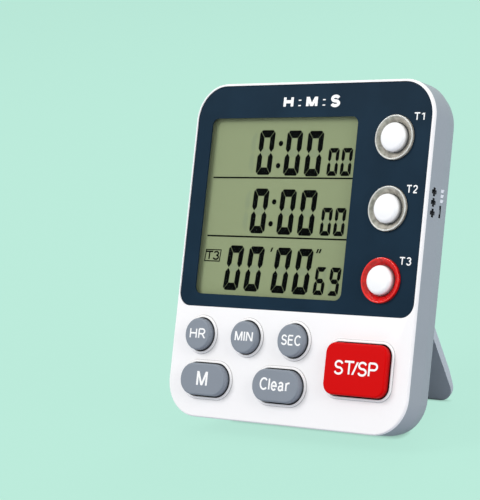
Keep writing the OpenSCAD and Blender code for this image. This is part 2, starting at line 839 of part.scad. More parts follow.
module battery_door() {
    low = bay_y - bay_h / 2;
    color("#9aa0aa") {
        layer(door_front, case_d) translate([0, bay_y]) round_rect(door_l, door_h, 1.5);
        for (s = [-1, 1]) translate([s * tab_x, 0, 0]) {
            block(tab_w, door_y - tab_reach, low + 0.7, door_front - 1.5, door_front - 0.5);
            block(tab_w, low - 0.1, low + 0.7, door_front - 1.5, door_front + run);
        }
        block(8, low + bay_h - 1.2, low + bay_h - 0.4, door_front - 1.5, door_front + run);
    }
}

module stand() {
    color("#9aa0aa") translate([0, hinge_y, -hinge_depth]) rotate([stand_open, 0, 0]) {
        difference() {
            translate([0, 0, -stand_t / 2]) linear_extrude(stand_t) {
                translate([-stand_w / 2, stand_r - stand_l])
                    square([stand_w, stand_l + stand_heel - stand_r]);
                translate([stand_r - stand_w / 2, -stand_l])
                    square([stand_w - 2 * stand_r, stand_l]);
                for (s = [-1, 1])
                    translate([s * (stand_w / 2 - stand_r), stand_r - stand_l]) circle(stand_r);
            }
            toe_cut();
        }
        for (s = [-1, 1])
            translate([s * (stand_w / 2 - over), 0, 0]) rotate([0, s * 90, 0])
                cylinder(h = pin_l + recess_gap + over, r = pin_d / 2);
    }
}

// Wedge that thins the stand's back face towards its foot
module toe_cut() {
    rise = (stand_t - toe_t) * (toe_l + over) / toe_l;
    translate([-stand_w / 2 - over, -stand_l, -stand_t / 2]) rotate([90, 0, 90])
        linear_extrude(stand_w + 2 * over)
            polygon([[toe_l, 0], [-over, rise], [-over, -over], [toe_l, -over]]);
}

// ---------------------------------------------------------------- assembly

stand_up() front_cover();
stand_up() face_panel();
stand_up() display_window();
stand_up() lcd_glass();
stand_up() lcd_reflector();
stand_up() lcd_frame();
stand_up() zebra_strip(1);  // zebra_strip_upper
stand_up() zebra_strip(-1);  // zebra_strip_lower
stand_up() light_ring(1);  // light_ring_1
stand_up() light_ring(2);  // light_ring_2
stand_up() light_ring(3);  // light_ring_3
stand_up() channel_button(1);  // channel_button_1
stand_up() channel_button(2);  // channel_button_2
stand_up() channel_button(3);  // channel_button_3
stand_up() key(0, "slategray");  // hour_key
stand_up() key(1, "slategray");  // minute_key
stand_up() key(2, "slategray");  // second_key
stand_up() key(3, "slategray");  // memory_key
stand_up() key(4, "slategray");  // clear_key
stand_up() key(5, "red");  // start_stop_key
stand_up() main_board();
stand_up() tact_switches();
stand_up() plunger(0);  // hour_plunger
stand_up() plunger(1);  // minute_plunger
stand_up() plunger(2);  // second_plunger
stand_up() plunger(3);  // memory_plunger
stand_up() plunger(4);  // clear_plunger
stand_up() plunger(5);  // start_stop_plunger
stand_up() plunger(6);  // channel_plunger_1
stand_up() plunger(7);  // channel_plunger_2
stand_up() plunger(8);  // channel_plunger_3
stand_up() indicator_leds();
stand_up() controller_chip();
stand_up() crystal();
stand_up() buzzer();
stand_up() board_screws();
stand_up() mode_switch_body();
stand_up() mode_switch_slider();
stand_up() rear_shell();
stand_up() case_screws();
stand_up() positive_contact();
stand_up() negative_contact();
stand_up() bridge_contact();
stand_up() cell(1, 1);  // cell_upper
stand_up() cell(-1, -1);  // cell_lower
stand_up() battery_door();
stand_up() stand();
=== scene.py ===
# %% [markdown]
# # Dressing a bench timer
# The timer's solids come from its CAD model and stay where they are. This lesson gives every
# visible surface the finish of the real one: polished and grained ABS mouldings, a printed
# polycarbonate panel, a liquid crystal display behind an acrylic window, clear light rings and
# printed legends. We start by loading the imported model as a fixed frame, in metres.

# %% Load the frame
import json
import math

import bmesh
import bpy
import numpy as np
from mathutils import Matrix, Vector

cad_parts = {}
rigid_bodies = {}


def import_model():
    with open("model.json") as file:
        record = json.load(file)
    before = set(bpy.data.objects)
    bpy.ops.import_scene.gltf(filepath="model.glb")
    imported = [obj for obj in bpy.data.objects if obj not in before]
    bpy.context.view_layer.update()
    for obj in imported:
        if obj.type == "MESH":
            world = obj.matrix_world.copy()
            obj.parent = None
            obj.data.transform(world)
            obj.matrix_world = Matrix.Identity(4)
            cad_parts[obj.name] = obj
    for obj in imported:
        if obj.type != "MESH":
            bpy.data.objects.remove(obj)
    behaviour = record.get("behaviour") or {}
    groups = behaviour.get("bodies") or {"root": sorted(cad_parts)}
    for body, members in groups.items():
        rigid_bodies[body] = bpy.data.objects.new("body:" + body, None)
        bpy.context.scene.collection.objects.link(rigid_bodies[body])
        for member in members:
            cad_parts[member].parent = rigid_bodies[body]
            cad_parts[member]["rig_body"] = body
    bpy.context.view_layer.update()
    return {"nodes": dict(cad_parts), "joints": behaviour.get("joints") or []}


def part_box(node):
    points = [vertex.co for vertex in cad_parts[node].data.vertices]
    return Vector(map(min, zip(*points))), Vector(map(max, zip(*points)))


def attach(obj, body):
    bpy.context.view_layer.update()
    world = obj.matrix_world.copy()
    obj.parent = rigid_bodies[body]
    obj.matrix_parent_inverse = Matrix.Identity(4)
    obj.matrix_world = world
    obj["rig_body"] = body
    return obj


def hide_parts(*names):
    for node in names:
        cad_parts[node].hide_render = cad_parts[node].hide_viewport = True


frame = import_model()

NODES = frame["nodes"]

# %% [markdown]
# ## The face's own axes
# The timer leans back on its stand, so nothing on its face is level or upright. World places
# could be worked out piece by piece, but it is easier to think in the face's own axes: X to the
# right, Y up the face and Z out of it, in millimetres. Y = 0 is the case's lower edge, and Z = 0
# is the cover's highest point: the tops of the CAD's low beads round the keys, 0.2 mm in front
# of the white face itself. A key is pressed straight into the face, so the axis of a key's joint
# gives Z, and the cover's own points give the zeros.

# %% Axes of the face, and boxes measured along them
MM, UM = 0.001, 1e-6  # a millimetre and a thousandth of one, in metres
key_joint = next(j for j in frame["joints"] if j["name"] == "hour_key_press")
OUT = -np.array(key_joint["axis"], float)
OUT /= np.linalg.norm(OUT)
RIGHT = np.array([1.0, 0.0, 0.0])
UP = np.cross(OUT, RIGHT)
AXES = np.stack([RIGHT, UP, OUT])


def corners_of(mesh):
    """All vertices of a mesh as one array, a row for each."""
    flat = np.empty(len(mesh.vertices) * 3, np.float32)
    mesh.vertices.foreach_get("co", flat)
    return flat.reshape(-1, 3).astype(float)


cover_points = corners_of(NODES["front_cover"].data) @ AXES.T
ZERO = UP * cover_points[:, 1].min() + OUT * cover_points[:, 2].max()


def on_face(points):
    """World places of face points: the zero point plus x, y and z steps along the three axes."""
    return ZERO + (np.asarray(points, float) * MM) @ AXES


def face_box(node):
    """Lowest and highest x, y and z of a CAD node along the face's axes, in millimetres."""
    points = (corners_of(NODES[node].data) - ZERO) @ AXES.T / MM
    return points.min(0), points.max(0)


def face_middle(node):
    """Middle of a node's box in face millimetres."""
    return sum(face_box(node)) / 2


LEAN = math.degrees(math.asin(UP[1]))
print(f"the face leans back {LEAN:.1f} degrees; cover from {face_box('front_cover')[0].round(2)}")

# %% [markdown]
# ## Camera
# A short lens close by would make the near side of the case look larger than the far one. A long
# lens of 144 mm from half a metre keeps the perspective mild, so the edges stay nearly parallel.
# The camera stands to the right of the timer, a little above it, and is turned by a few degrees
# about its own axis, so the timer seems to lean.

# %% Camera on the right of the face
EYE = (0.3167, -0.4042, 0.1532)
AIM = (-0.0188, -0.0078, 0.0473)
LENS = 144.25
ROLL = 7.464


def look(eye, aim, roll):
    """Camera matrix: -Z along the view, Y up, then a turn by roll degrees about the view."""
    forward = np.subtract(aim, eye)
    forward = forward / np.linalg.norm(forward)
    side = np.cross(forward, (0, 0, 1))
    side /= np.linalg.norm(side)
    up = np.cross(side, forward)
    angle = math.radians(roll)
    turned_up = math.cos(angle) * up + math.sin(angle) * side
    turned_side = math.cos(angle) * side - math.sin(angle) * up
    matrix = np.eye(4)
    matrix[:3, 0], matrix[:3, 1], matrix[:3, 2] = turned_side, turned_up, -forward
    matrix[:3, 3] = eye
    return matrix


camera_data = bpy.data.cameras.new("camera")
camera_data.lens, camera_data.sensor_width = LENS, 36.0
camera_data.clip_start, camera_data.clip_end = 0.01, 20.0
camera = bpy.data.objects.new("camera", camera_data)
bpy.context.scene.collection.objects.link(camera)
camera.matrix_world = look(EYE, AIM, ROLL).T.tolist()
bpy.context.scene.camera = camera
print("camera", camera_data.lens, "mm")

# %% [markdown]
# ## Small tools for materials
# Colours are written as sRGB hex codes, as a designer would note them, and Blender computes in
# linear light, so one function turns a code into linear numbers. Patterns are thought of in
# millimetres, and a noise node wants repeats per metre of Object coordinates, so a second one
# turns a size into a scale. The third adds a node, sets its options and fills its sockets, with
# a number or a link, which keeps each material below a short list of what it consists of.

# %% Colour, scale and node tools


def colour(code):
    """Linear RGBA of an sRGB hex code: c/12.92 below 0.04045, else ((c + 0.055)/1.055)^2.4."""
    code = code.lstrip("#")
    s = np.array([int(code[i : i + 2], 16) for i in (0, 2, 4)]) / 255
    linear = np.where(s <= 0.04045, s / 12.92, ((s + 0.055) / 1.055) ** 2.4)
    return (*linear.tolist(), 1.0)


def toned(code, share):
    """Linear RGBA of a hex code, with red, green and blue times share."""
    return (*(c * share for c in colour(code)[:3]), 1.0)


def scale(size_mm):
    """Scale of a noise whose features are size_mm wide: 1000 mm / size."""
    return 1000 / size_mm


def add(tree, kind, sockets=None, **options):
    """Add one node: options are its settings, sockets maps inputs to values or to outputs."""
    made = tree.nodes.new("ShaderNode" + kind)
    for name, value in options.items():
        setattr(made, name, value)
    for name, value in (sockets or {}).items():
        if isinstance(value, bpy.types.NodeSocket):
            tree.links.new(value, made.inputs[name])
        else:
            made.inputs[name].default_value = value
    return made


def blank_material(name):
    """A material with an empty node tree, and the tree."""
    made = bpy.data.materials.new(name)
    made.use_nodes = True
    made.node_tree.nodes.clear()
    return made, made.node_tree


def finish_with(tree, shader):
    """Link a shader to the material's output."""
    add(tree, "OutputMaterial", {"Surface": shader})


print("white is", [round(c, 3) for c in colour("#f6f6f8")])

# %% [markdown]
# ## Moulded plastic
# Nearly all of the timer is ABS, injection moulded. The mould's steel decides the surface: a
# polished mould gives a gloss with a faint long-wave ripple, and a spark-eroded one gives a fine
# even grain of about 0.2 mm. The narrow gaps round the keys get a painted shade that turns them
# nearly black. The grain could be modelled, but noise read as bump costs nothing and fits any
# shape.
# One function makes all mouldings: fine noise for the grain as bump and as a small change of
# roughness, slow noise for the slight mottling that keeps a moulding from looking like paint on
# a screen, and painted shade where little of the space round a point is open.

# %% One function for all mouldings
IMPORTED = len(bpy.data.materials)  # plain colours that came with the frame
ABS_IOR = 1.54
GAP_SHADE = "#17181b"  # painted shade of a gap


def moulded(name, code, roughness, grain_mm, grain_um, mottle=0.03, mottle_mm=9.0, painted_gap_shade=None,
            **shader):
    """Moulded plastic: base colour * (1 +- mottle), roughness +- a tenth, grain as bump.

    The bump's distance is the grain's depth. The painted shade of gaps, given as (reach in mm,
    low, high), turns the colour to the gap's shade from the share high of open space within reach
    down to the share low."""
    made, tree = blank_material(name)
    place = add(tree, "TexCoord").outputs["Object"]
    slow = add(tree, "TexNoise", {"Vector": place, "Scale": scale(mottle_mm), "Detail": 2.0})
    fine = add(tree, "TexNoise", {"Vector": place, "Scale": scale(grain_mm), "Detail": 3.0})
    tone = add(tree, "Mix", {"Factor": slow.outputs["Fac"], 6: toned(code, 1 - mottle),
                             7: toned(code, 1 + mottle)}, data_type="RGBA")
    rough = add(tree, "MapRange", {"Value": fine.outputs["Fac"], "From Min": 0.3, "From Max": 0.7,
                                   "To Min": roughness * 0.9, "To Max": roughness * 1.1})
    bump = add(tree, "Bump", {"Height": fine.outputs["Fac"], "Strength": 1.0,
                              "Distance": grain_um * UM})
    # Painted shade: the colour turns to the gap's shade where little space round a point is open.
    if painted_gap_shade:
        reach, low_share, high_share = painted_gap_shade
        room = add(tree, "AmbientOcclusion", {"Distance": reach * MM}, samples=8)
        open_share = add(tree, "MapRange", {"Value": room.outputs["AO"], "From Min": low_share,
                                       "From Max": high_share})
        tone = add(tree, "Mix", {"Factor": open_share.outputs[0], 6: colour(GAP_SHADE),
                                 7: tone.outputs[2]}, data_type="RGBA")
    surface = add(tree, "BsdfPrincipled", {
        "Base Color": tone.outputs[2], "Roughness": rough.outputs[0], "IOR": ABS_IOR,
        "Normal": bump.outputs[0], **shader})
    finish_with(tree, surface.outputs[0])
    return made


# The last tuple of a finish paints shade: gaps round the keys, the sound holes and the buttons'
# lower edges turn dark where little space is open.
white_abs = moulded("abs_white_polished_mould", "#f6f5f6", 0.34, 0.9, 1.2, mottle=0.008,
                    painted_gap_shade=(0.3, 0.3, 0.92), **{"Specular IOR Level": 0.15})
# The stand is painted a lighter grey than the shell, so that its shaded inner face reads lighter:
# painted light.
stand_abs_painted_lighter = moulded("abs_grey_stand", "#b8c0c9", 0.52, 0.22, 9.0,
                    painted_gap_shade=(1.5, 0.2, 0.6), **{"Specular IOR Level": 0.25})
grey_abs = moulded("abs_grey_spark_eroded", "#9ba2aa", 0.52, 0.22, 9.0,
                   painted_gap_shade=(2.0, 0.42, 0.82), **{"Specular IOR Level": 0.25})
key_abs = moulded("abs_slate_grey_fine_matt", "#838a95", 0.46, 0.25, 5.0,
                  painted_gap_shade=(2.2, 0.3, 0.85), **{"Specular IOR Level": 0.25})
red_abs = moulded("abs_signal_red_fine_matt", "#d10204", 0.42, 0.25, 4.0, mottle=0.02,
                  painted_gap_shade=(2.2, 0.4, 0.95), **{"Specular IOR Level": 0.05})
button_abs = moulded("abs_bright_white_polished", "#fbfbfc", 0.22, 0.8, 0.8, mottle=0.005,
                     painted_gap_shade=(1.6, -0.2, 0.95))
black_abs = moulded("abs_black_moulded", "#17181a", 0.5, 0.3, 6.0)
slider_abs = moulded("abs_pale_slate_moulded", "#7e868f", 0.5, 0.3, 6.0)
ivory_abs = moulded("abs_ivory_moulded", "#e6e2d4", 0.5, 0.4, 6.0)
zebra_rubber = moulded("silicone_conductive_layers", "#c98f94", 0.7, 0.18, 12.0, mottle=0.12)
resin = moulded("epoxy_glob_black", "#101012", 0.35, 1.5, 20.0)
lamp_lens = moulded("epoxy_lamp_lens", "#e9d9a6", 0.2, 1.0, 2.0)
print("moulded finishes:", len(bpy.data.materials) - IMPORTED)

# %% [markdown]
# ## The printed panel
# The dark blue panel is a polycarbonate film, screen printed on its back, so the ink lies under
# a smooth clear skin. A second, clear layer of mesh could stand for the skin, but it would be too
# thin to show an edge, so one shader does both: the ink has a low, slow mottling, and the skin a
# light orange peel a few millimetres long, which bends the reflections a little.

# %% Printed polycarbonate film
POLYCARBONATE_IOR = 1.58


def printed_film(name, code):
    """Screen-printed film: ink mottled by a tenth over 14 mm; orange peel of 4 mm, 1.5 um high."""
    made, tree = blank_material(name)
    place = add(tree, "TexCoord").outputs["Object"]
    mottle = add(tree, "TexNoise", {"Vector": place, "Scale": scale(14), "Detail": 3.0})
    ramp = add(tree, "ValToRGB", {"Fac": mottle.outputs["Fac"]})
    low, high = ramp.color_ramp.elements
    low.color, high.color = toned(code, 0.9), toned(code, 1.1)
    low.position, high.position = 0.35, 0.65
    peel = add(tree, "TexNoise", {"Vector": place, "Scale": scale(4), "Detail": 1.0})
    bump = add(tree, "Bump", {"Height": peel.outputs["Fac"], "Distance": 1.5 * UM})
    surface = add(tree, "BsdfPrincipled", {
        "Base Color": ramp.outputs[0], "Roughness": 0.34, "IOR": POLYCARBONATE_IOR,
        "Specular IOR Level": 0.02, "Normal": bump.outputs[0]})
    finish_with(tree, surface.outputs[0])
    return made


navy_film = printed_film("polycarbonate_film_navy", "#192d3d")
print("panel finish:", navy_film.name)

# %% [markdown]
# ## Clear plastics
# The window is a thin sheet of acrylic, IOR 1.49, that mirrors a little of the room and lets the
# rest straight through. A refracting block would be truer in a close view, but it takes light
# from the display, so the sheet is transparent with a faint mirror.

# %% Acrylic window
ACRYLIC_IOR = 1.49


def clear_sheet(name, tint, gloss, ripple_um):
    """Thin acrylic: light passes straight on, and gloss times its Fresnel share is mirrored.

    A sheet of half a millimetre shifts what lies behind it by too little to see."""
    made, tree = blank_material(name)
    place = add(tree, "TexCoord").outputs["Object"]
    ripple = add(tree, "TexNoise", {"Vector": place, "Scale": scale(2.5), "Detail": 2.0})
    bump = add(tree, "Bump", {"Height": ripple.outputs["Fac"], "Distance": ripple_um * UM})
    mirror = add(tree, "BsdfGlossy", {"Color": colour("#ffffff"), "Roughness": 0.04,
                                      "Normal": bump.outputs[0]})
    clear = add(tree, "BsdfTransparent", {"Color": colour(tint)})
    edge = add(tree, "Fresnel", {"IOR": ACRYLIC_IOR})
    part = add(tree, "Math", {0: edge.outputs[0], 1: gloss}, operation="MULTIPLY")
    both = add(tree, "MixShader", {"Fac": part.outputs[0], 1: clear.outputs[0],
                                   2: mirror.outputs[0]})
    finish_with(tree, both.outputs[0])
    return made


window_acrylic = clear_sheet("acrylic_window", "#fdfefd", 0.01, 0.3)
print("window finish:", window_acrylic.name)

# %% [markdown]
# The light rings are moulded in clear acrylic too, but they are thick and a little hazy. Seen
# from outside, the polished rim is pale by a painted highlight, the slope inside it has darker
# streaks, painted from random noise, that stand for what lies below, and the gap round the button
# is painted dark as shade. The ring of the running channel is lit red from below: the light
# spreads in the plastic, which could be traced from a lamp, but a weak glow of the plastic itself
# gives the same even red without noise.

# %% Acrylic light rings
RIM_FADE = (0.14 * MM, 0.03 * MM)  # under the crest: where the rim's painted highlight starts and is full
RING_CREST = ZERO @ OUT + face_box("light_ring_1")[1][2] * MM


def ring_acrylic(name, code, rim_highlight_code, haze, gloss, glow=None):
    """Hazy acrylic: the share 1 - haze of the light passes, the rest scatters in its colour.

    Streaks of 1.6 mm, painted from random noise, darken the slope to 0.55 of its colour. The rim's
    painted highlight colour takes over by the height of a point, which is its place times the
    face's outward direction; painted shade darkens the gap round the button."""
    made, tree = blank_material(name)
    place = add(tree, "TexCoord").outputs["Object"]
    flow = add(tree, "TexNoise", {"Vector": place, "Scale": scale(1.6), "Detail": 3.0})
    ramp = add(tree, "ValToRGB", {"Fac": flow.outputs["Fac"]})
    low, high = ramp.color_ramp.elements
    low.color, high.color = toned(code, 0.55), colour(code)
    low.position, high.position = 0.38, 0.62
    bump = add(tree, "Bump", {"Height": flow.outputs["Fac"], "Distance": 4 * UM})
    height = add(tree, "VectorMath", {0: place, 1: OUT.tolist()}, operation="DOT_PRODUCT")
    rim = add(tree, "MapRange", {"Value": height.outputs["Value"],
                                 "From Min": RING_CREST - RIM_FADE[0],
                                 "From Max": RING_CREST - RIM_FADE[1]})
    body = add(tree, "Mix", {"Factor": rim.outputs[0], 6: ramp.outputs[0], 7: colour(rim_highlight_code)},
               data_type="RGBA")
    # Painted shade: the gap round the button turns dark where little space is open within 0.8 mm.
    room = add(tree, "AmbientOcclusion", {"Distance": 0.8 * MM}, samples=8)
    open_share = add(tree, "MapRange", {"Value": room.outputs["AO"], "From Min": 0.25,
                                   "From Max": 0.75})
    tone = add(tree, "Mix", {"Factor": open_share.outputs[0], 6: colour(GAP_SHADE),
                             7: body.outputs[2]}, data_type="RGBA")
    sockets = {"Base Color": tone.outputs[2], "Roughness": 0.12, "IOR": ACRYLIC_IOR,
               "Transmission Weight": 1 - haze, "Coat Weight": gloss, "Coat Roughness": 0.05,
               "Normal": bump.outputs[0]}
    if glow:
        sockets |= {"Emission Color": colour(glow), "Emission Strength": 0.16}
    surface = add(tree, "BsdfPrincipled", sockets)
    finish_with(tree, surface.outputs[0])
    return made


clear_ring = ring_acrylic("acrylic_light_ring_clear", "#d8d2c4", "#f1f0eb", 0.75, 0.6)
red_ring = ring_acrylic("acrylic_light_ring_lit_red", "#dc0a0a", "#e8201c", 0.95, 0.1,
                        glow="#d01010")
print("ring crest", round(RING_CREST / MM, 2), "mm out along the face's direction")

# %% [markdown]
# ## The display
# A reflective liquid crystal display is a glass sandwich with a polarising film on each side and
# a reflector behind. What the eye gets is an olive grey with a fine sparkle from the reflector,
# and nearly black segments. The stack could be traced layer by layer, but its colour comes from
# polarised light, which the renderer doesn't know, so one satin film with that colour stands for
# it. The sparkle's real grain, under 0.1 mm, is too fine to show and is drawn 0.3 mm wide.

# %% Polariser, segment ink and unlit segments


def polariser(name, code, sparkle=0.02):
    """Olive film: colour * (1 +- sparkle) by 0.5 times a slow noise of 30 mm plus the sparkle's
    own noise of 0.3 mm."""
    made, tree = blank_material(name)
    place = add(tree, "TexCoord").outputs["Object"]
    slow = add(tree, "TexNoise", {"Vector": place, "Scale": scale(30), "Detail": 1.0})
    spark = add(tree, "TexNoise", {"Vector": place, "Scale": scale(0.3), "Detail": 1.0})
    both = add(tree, "Math", {0: slow.outputs["Fac"], 1: 0.5, 2: spark.outputs["Fac"]},
               operation="MULTIPLY_ADD")
    ramp = add(tree, "ValToRGB", {"Fac": both.outputs[0]})
    low, high = ramp.color_ramp.elements
    low.color, high.color = toned(code, 1 - sparkle), toned(code, 1 + sparkle)
    surface = add(tree, "BsdfPrincipled", {
        "Base Color": ramp.outputs[0], "Roughness": 0.5, "Specular IOR Level": 0.02})
    finish_with(tree, surface.outputs[0])
    return made


lcd_film = polariser("lcd_polariser_olive", "#919a78")
lcd_dark = polariser("lcd_segment_dark", "#010101", 0.05)
lcd_idle = polariser("lcd_segment_idle", "#8b9577", 0.03)
reflector_film = moulded("polyester_reflector_satin", "#b9bdb2", 0.4, 0.3, 4.0, Metallic=0.7)
print("display finishes:", lcd_film.name, lcd_dark.name, lcd_idle.name)

# %% [markdown]
# ## Metals and the board
# Screws are zinc plated steel and contacts are nickel plated spring steel. Metals keep the
# default IOR: their colour and roughness do the work, and fine noise stands for the scratches
# that single strokes would draw. The board's solder mask is a glossy green lacquer with paler
# copper tracks under it. Real tracks could be drawn, but only slits of the board ever show, so
# the edges of a cell pattern stand for them.

# %% Metals and solder mask


def metal(name, code, roughness, scratch_mm):
    """Plated metal: colour of the plating, roughness +- three tenths by fine noise."""
    made, tree = blank_material(name)
    place = add(tree, "TexCoord").outputs["Object"]
    fine = add(tree, "TexNoise", {"Vector": place, "Scale": scale(scratch_mm), "Detail": 4.0})
    rough = add(tree, "MapRange", {"Value": fine.outputs["Fac"], "To Min": roughness * 0.7,
                                   "To Max": roughness * 1.3})
    bump = add(tree, "Bump", {"Height": fine.outputs["Fac"], "Distance": 2 * UM})
    surface = add(tree, "BsdfPrincipled", {
        "Base Color": colour(code), "Metallic": 1.0, "Roughness": rough.outputs[0],
        "Normal": bump.outputs[0]})
    finish_with(tree, surface.outputs[0])
    return made


def solder_mask(name):
    """Green lacquer over copper: cells of 2.5 mm stand for the tracks, paler where copper lies."""
    made, tree = blank_material(name)
    place = add(tree, "TexCoord").outputs["Object"]
    tracks = add(tree, "TexVoronoi", {"Vector": place, "Scale": scale(2.5)},
                 feature="DISTANCE_TO_EDGE", distance="EUCLIDEAN")
    ramp = add(tree, "ValToRGB", {"Fac": tracks.outputs["Distance"]})
    track, mask = ramp.color_ramp.elements
    track.color, mask.color = colour("#2f7d4a"), colour("#12512c")
    mask.position = 0.12
    bump = add(tree, "Bump", {"Height": tracks.outputs["Distance"], "Distance": 20 * UM,
                              "Strength": 0.3}, invert=True)
    surface = add(tree, "BsdfPrincipled", {
        "Base Color": ramp.outputs[0], "Roughness": 0.25, "Normal": bump.outputs[0]})
    finish_with(tree, surface.outputs[0])
    return made


zinc_steel = metal("steel_zinc_plated", "#b9bcc0", 0.32, 0.4)
nickel_steel = metal("spring_steel_nickel_plated", "#cfc9ba", 0.22, 0.5)
lacquer = solder_mask("solder_mask_green")
print("finishes so far:", len(bpy.data.materials) - IMPORTED)

# %% [markdown]
# ## The cells' sleeves
# A cell's sleeve is a printed foil: here a plain slate body with a paler band at the raised
# terminal. A separate band of mesh would need its own edge, and the print has none. It follows
# the length of the cell, so the colour reads the X of Object coordinates.

# %% Printed sleeve along X
BAND = 10 * MM


def sleeve(name, band_low, band_high):
    """Foil sleeve: slate, with a pale band between two X places in metres, satin lacquer."""
    made, tree = blank_material(name)
    place = add(tree, "TexCoord").outputs["Object"]
    along = add(tree, "SeparateXYZ", {0: place}).outputs["X"]
    over = add(tree, "Math", {0: along, 1: band_low}, operation="GREATER_THAN")
    under = add(tree, "Math", {0: along, 1: band_high}, operation="LESS_THAN")
    band = add(tree, "Math", {0: over.outputs[0], 1: under.outputs[0]}, operation="MULTIPLY")
    tone = add(tree, "Mix", {"Factor": band.outputs[0], 6: colour("#46505c"),
                             7: colour("#c5cad0")}, data_type="RGBA")
    fine = add(tree, "TexNoise", {"Vector": place, "Scale": scale(0.8)})
    bump = add(tree, "Bump", {"Height": fine.outputs["Fac"], "Distance": 3 * UM})
    surface = add(tree, "BsdfPrincipled", {
        "Base Color": tone.outputs[2], "Roughness": 0.3, "Metallic": 0.4,
        "Normal": bump.outputs[0]})
    finish_with(tree, surface.outputs[0])
    return made


cell_x = {node: (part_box(node)[0].x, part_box(node)[1].x) for node in ("cell_upper", "cell_lower")}
upper_sleeve = sleeve("foil_sleeve_upper", cell_x["cell_upper"][1] - BAND, 1.0)
lower_sleeve = sleeve("foil_sleeve_lower", -1.0, cell_x["cell_lower"][0] + BAND)
print("cells run from", {n: [round(v * 1000, 1) for v in x] for n, x in cell_x.items()})

# %% [markdown]
# ## Which finish goes where
# Every node gets the finish of its real piece. A node's material could be set one by one in a
# viewer, but a table by name is easy to check against the list of nodes. The nodes that stay as
# they are, the ones hidden inside the case, just take it in their material slots.

# %% Finish of each node
FINISH = {
    "front_cover": white_abs, "face_panel": navy_film, "display_window": window_acrylic,
    "lcd_glass": lcd_film, "lcd_reflector": reflector_film, "lcd_frame": ivory_abs,
    "zebra_strip_upper": zebra_rubber, "zebra_strip_lower": zebra_rubber,
    "light_ring_1": clear_ring, "light_ring_2": clear_ring, "light_ring_3": red_ring,
    "start_stop_key": red_abs, "main_board": lacquer, "tact_switches": black_abs,
    "indicator_leds": lamp_lens, "controller_chip": resin, "crystal": nickel_steel,
    "buzzer": black_abs, "board_screws": zinc_steel, "mode_switch_body": nickel_steel,
    "mode_switch_slider": slider_abs, "rear_shell": grey_abs, "case_screws": zinc_steel,
    "cell_upper": upper_sleeve, "cell_lower": lower_sleeve, "battery_door": grey_abs,
    "stand": stand_abs_painted_lighter,
}
for name in NODES:
    if name.startswith("channel_button"):
        FINISH[name] = button_abs
    elif name.endswith("_contact"):
        FINISH[name] = nickel_steel
    elif "plunger" in name:
        FINISH[name] = black_abs
    elif name.endswith("_key") and name not in FINISH:
        FINISH[name] = key_abs
assert set(FINISH) == set(NODES)


def dress(piece, material):
    """Give every face of a piece one material."""
    piece.data.materials.clear()
    piece.data.materials.append(material)


for name, piece in NODES.items():
    dress(piece, FINISH[name])
BODY = {name: piece["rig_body"] for name, piece in NODES.items()}
print("dressed", len(FINISH), "nodes")

# %% [markdown]
# ## Smooth skins over the mouldings
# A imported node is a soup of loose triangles, so its round corners would shade as facets. It could
# be remeshed, but that softens the crisp edges of a moulding. Instead, for each piece that shows,
# a copy is welded, flat areas are joined into whole faces, edges sharper than a crease angle are
# kept, and a Weighted Normal modifier lets the big flat faces rule the shading. The copy then
# replaces the node in what is rendered, with the same shape.

# %% Welded copies
FLAT_AREA = 25e-6  # faces above 25 square millimetres are true planes and are shaded as such
LEVEL_SLOPE = 0.02  # steepest rise of an edge that counts as level with the face


def weld(mesh, flat_degrees=0.2, reach=2 * UM):
    """Merge vertices within reach, join faces that lie in one plane, and face all outwards."""
    work = bmesh.new()
    work.from_mesh(mesh)
    bmesh.ops.remove_doubles(work, verts=work.verts, dist=reach)
    bmesh.ops.dissolve_limit(work, angle_limit=math.radians(flat_degrees),
                             verts=work.verts, edges=work.edges)
    bmesh.ops.recalc_face_normals(work, faces=work.faces)
    work.to_mesh(mesh)
    work.free()


def shade(piece, crease, level_crease=None):
    """Smooth shading between faces that meet at less than crease degrees; edges that run level
    with the face, such as a fold round the case, stay crisp from level_crease degrees on."""
    mesh = piece.data
    areas = np.empty(len(mesh.polygons), np.float32)
    mesh.polygons.foreach_get("area", areas)
    mesh.polygons.foreach_set("use_smooth", areas < FLAT_AREA)
    mesh.set_sharp_from_angle(angle=math.radians(crease))
    if level_crease:
        work = bmesh.new()
        work.from_mesh(mesh)
        for edge in work.edges:
            run = edge.verts[1].co - edge.verts[0].co
            if (abs(run.dot(OUT.tolist())) < LEVEL_SLOPE * run.length
                    and edge.calc_face_angle(0) > math.radians(level_crease)):
                edge.smooth = False
        work.to_mesh(mesh)
        work.free()
    weighted = piece.modifiers.new("weighted", "WEIGHTED_NORMAL")
    weighted.keep_sharp, weighted.weight = True, 100


print("faces are flat from", round(FLAT_AREA / MM**2), "square mm on")

# %% [markdown]
# A finished piece is linked, dressed and told which body carries it, all in one place, so that
# nothing is forgotten. The skins are the first to use it. Where the mould or the wear has softened
# an edge by more than a hair, on the stand and the battery door, a narrow Bevel modifier does the
# same.

# %% Skins for the pieces that show
BEVEL_FROM = 50  # least angle in degrees of an edge that is softened


def place_piece(piece, body, material, replaced=()):
    """Link a finished piece, dress it and let it ride on its body."""
    bpy.context.scene.collection.objects.link(piece)
    dress(piece, material)
    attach(piece, body)
    if replaced:
        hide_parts(*replaced)
    return piece


def skin(node, crease, bevel_mm=0.0, level_crease=None):
    """A welded, smoothly shaded copy of a node that stands for it, with softened edges.

    The reach of 0.015 mm also joins the rings that the CAD's lofts draw 0.01 mm apart."""
    mesh = NODES[node].data.copy()
    mesh.name = node + "_skin"
    weld(mesh, reach=15 * UM)
    piece = bpy.data.objects.new(node + "_skin", mesh)
    if bevel_mm:
        bevel = piece.modifiers.new("edges", "BEVEL")
        bevel.width, bevel.segments = bevel_mm * MM, 2
        bevel.limit_method, bevel.angle_limit = "ANGLE", math.radians(BEVEL_FROM)
    shade(piece, crease, level_crease)
    return place_piece(piece, BODY[node], FINISH[node], [node])


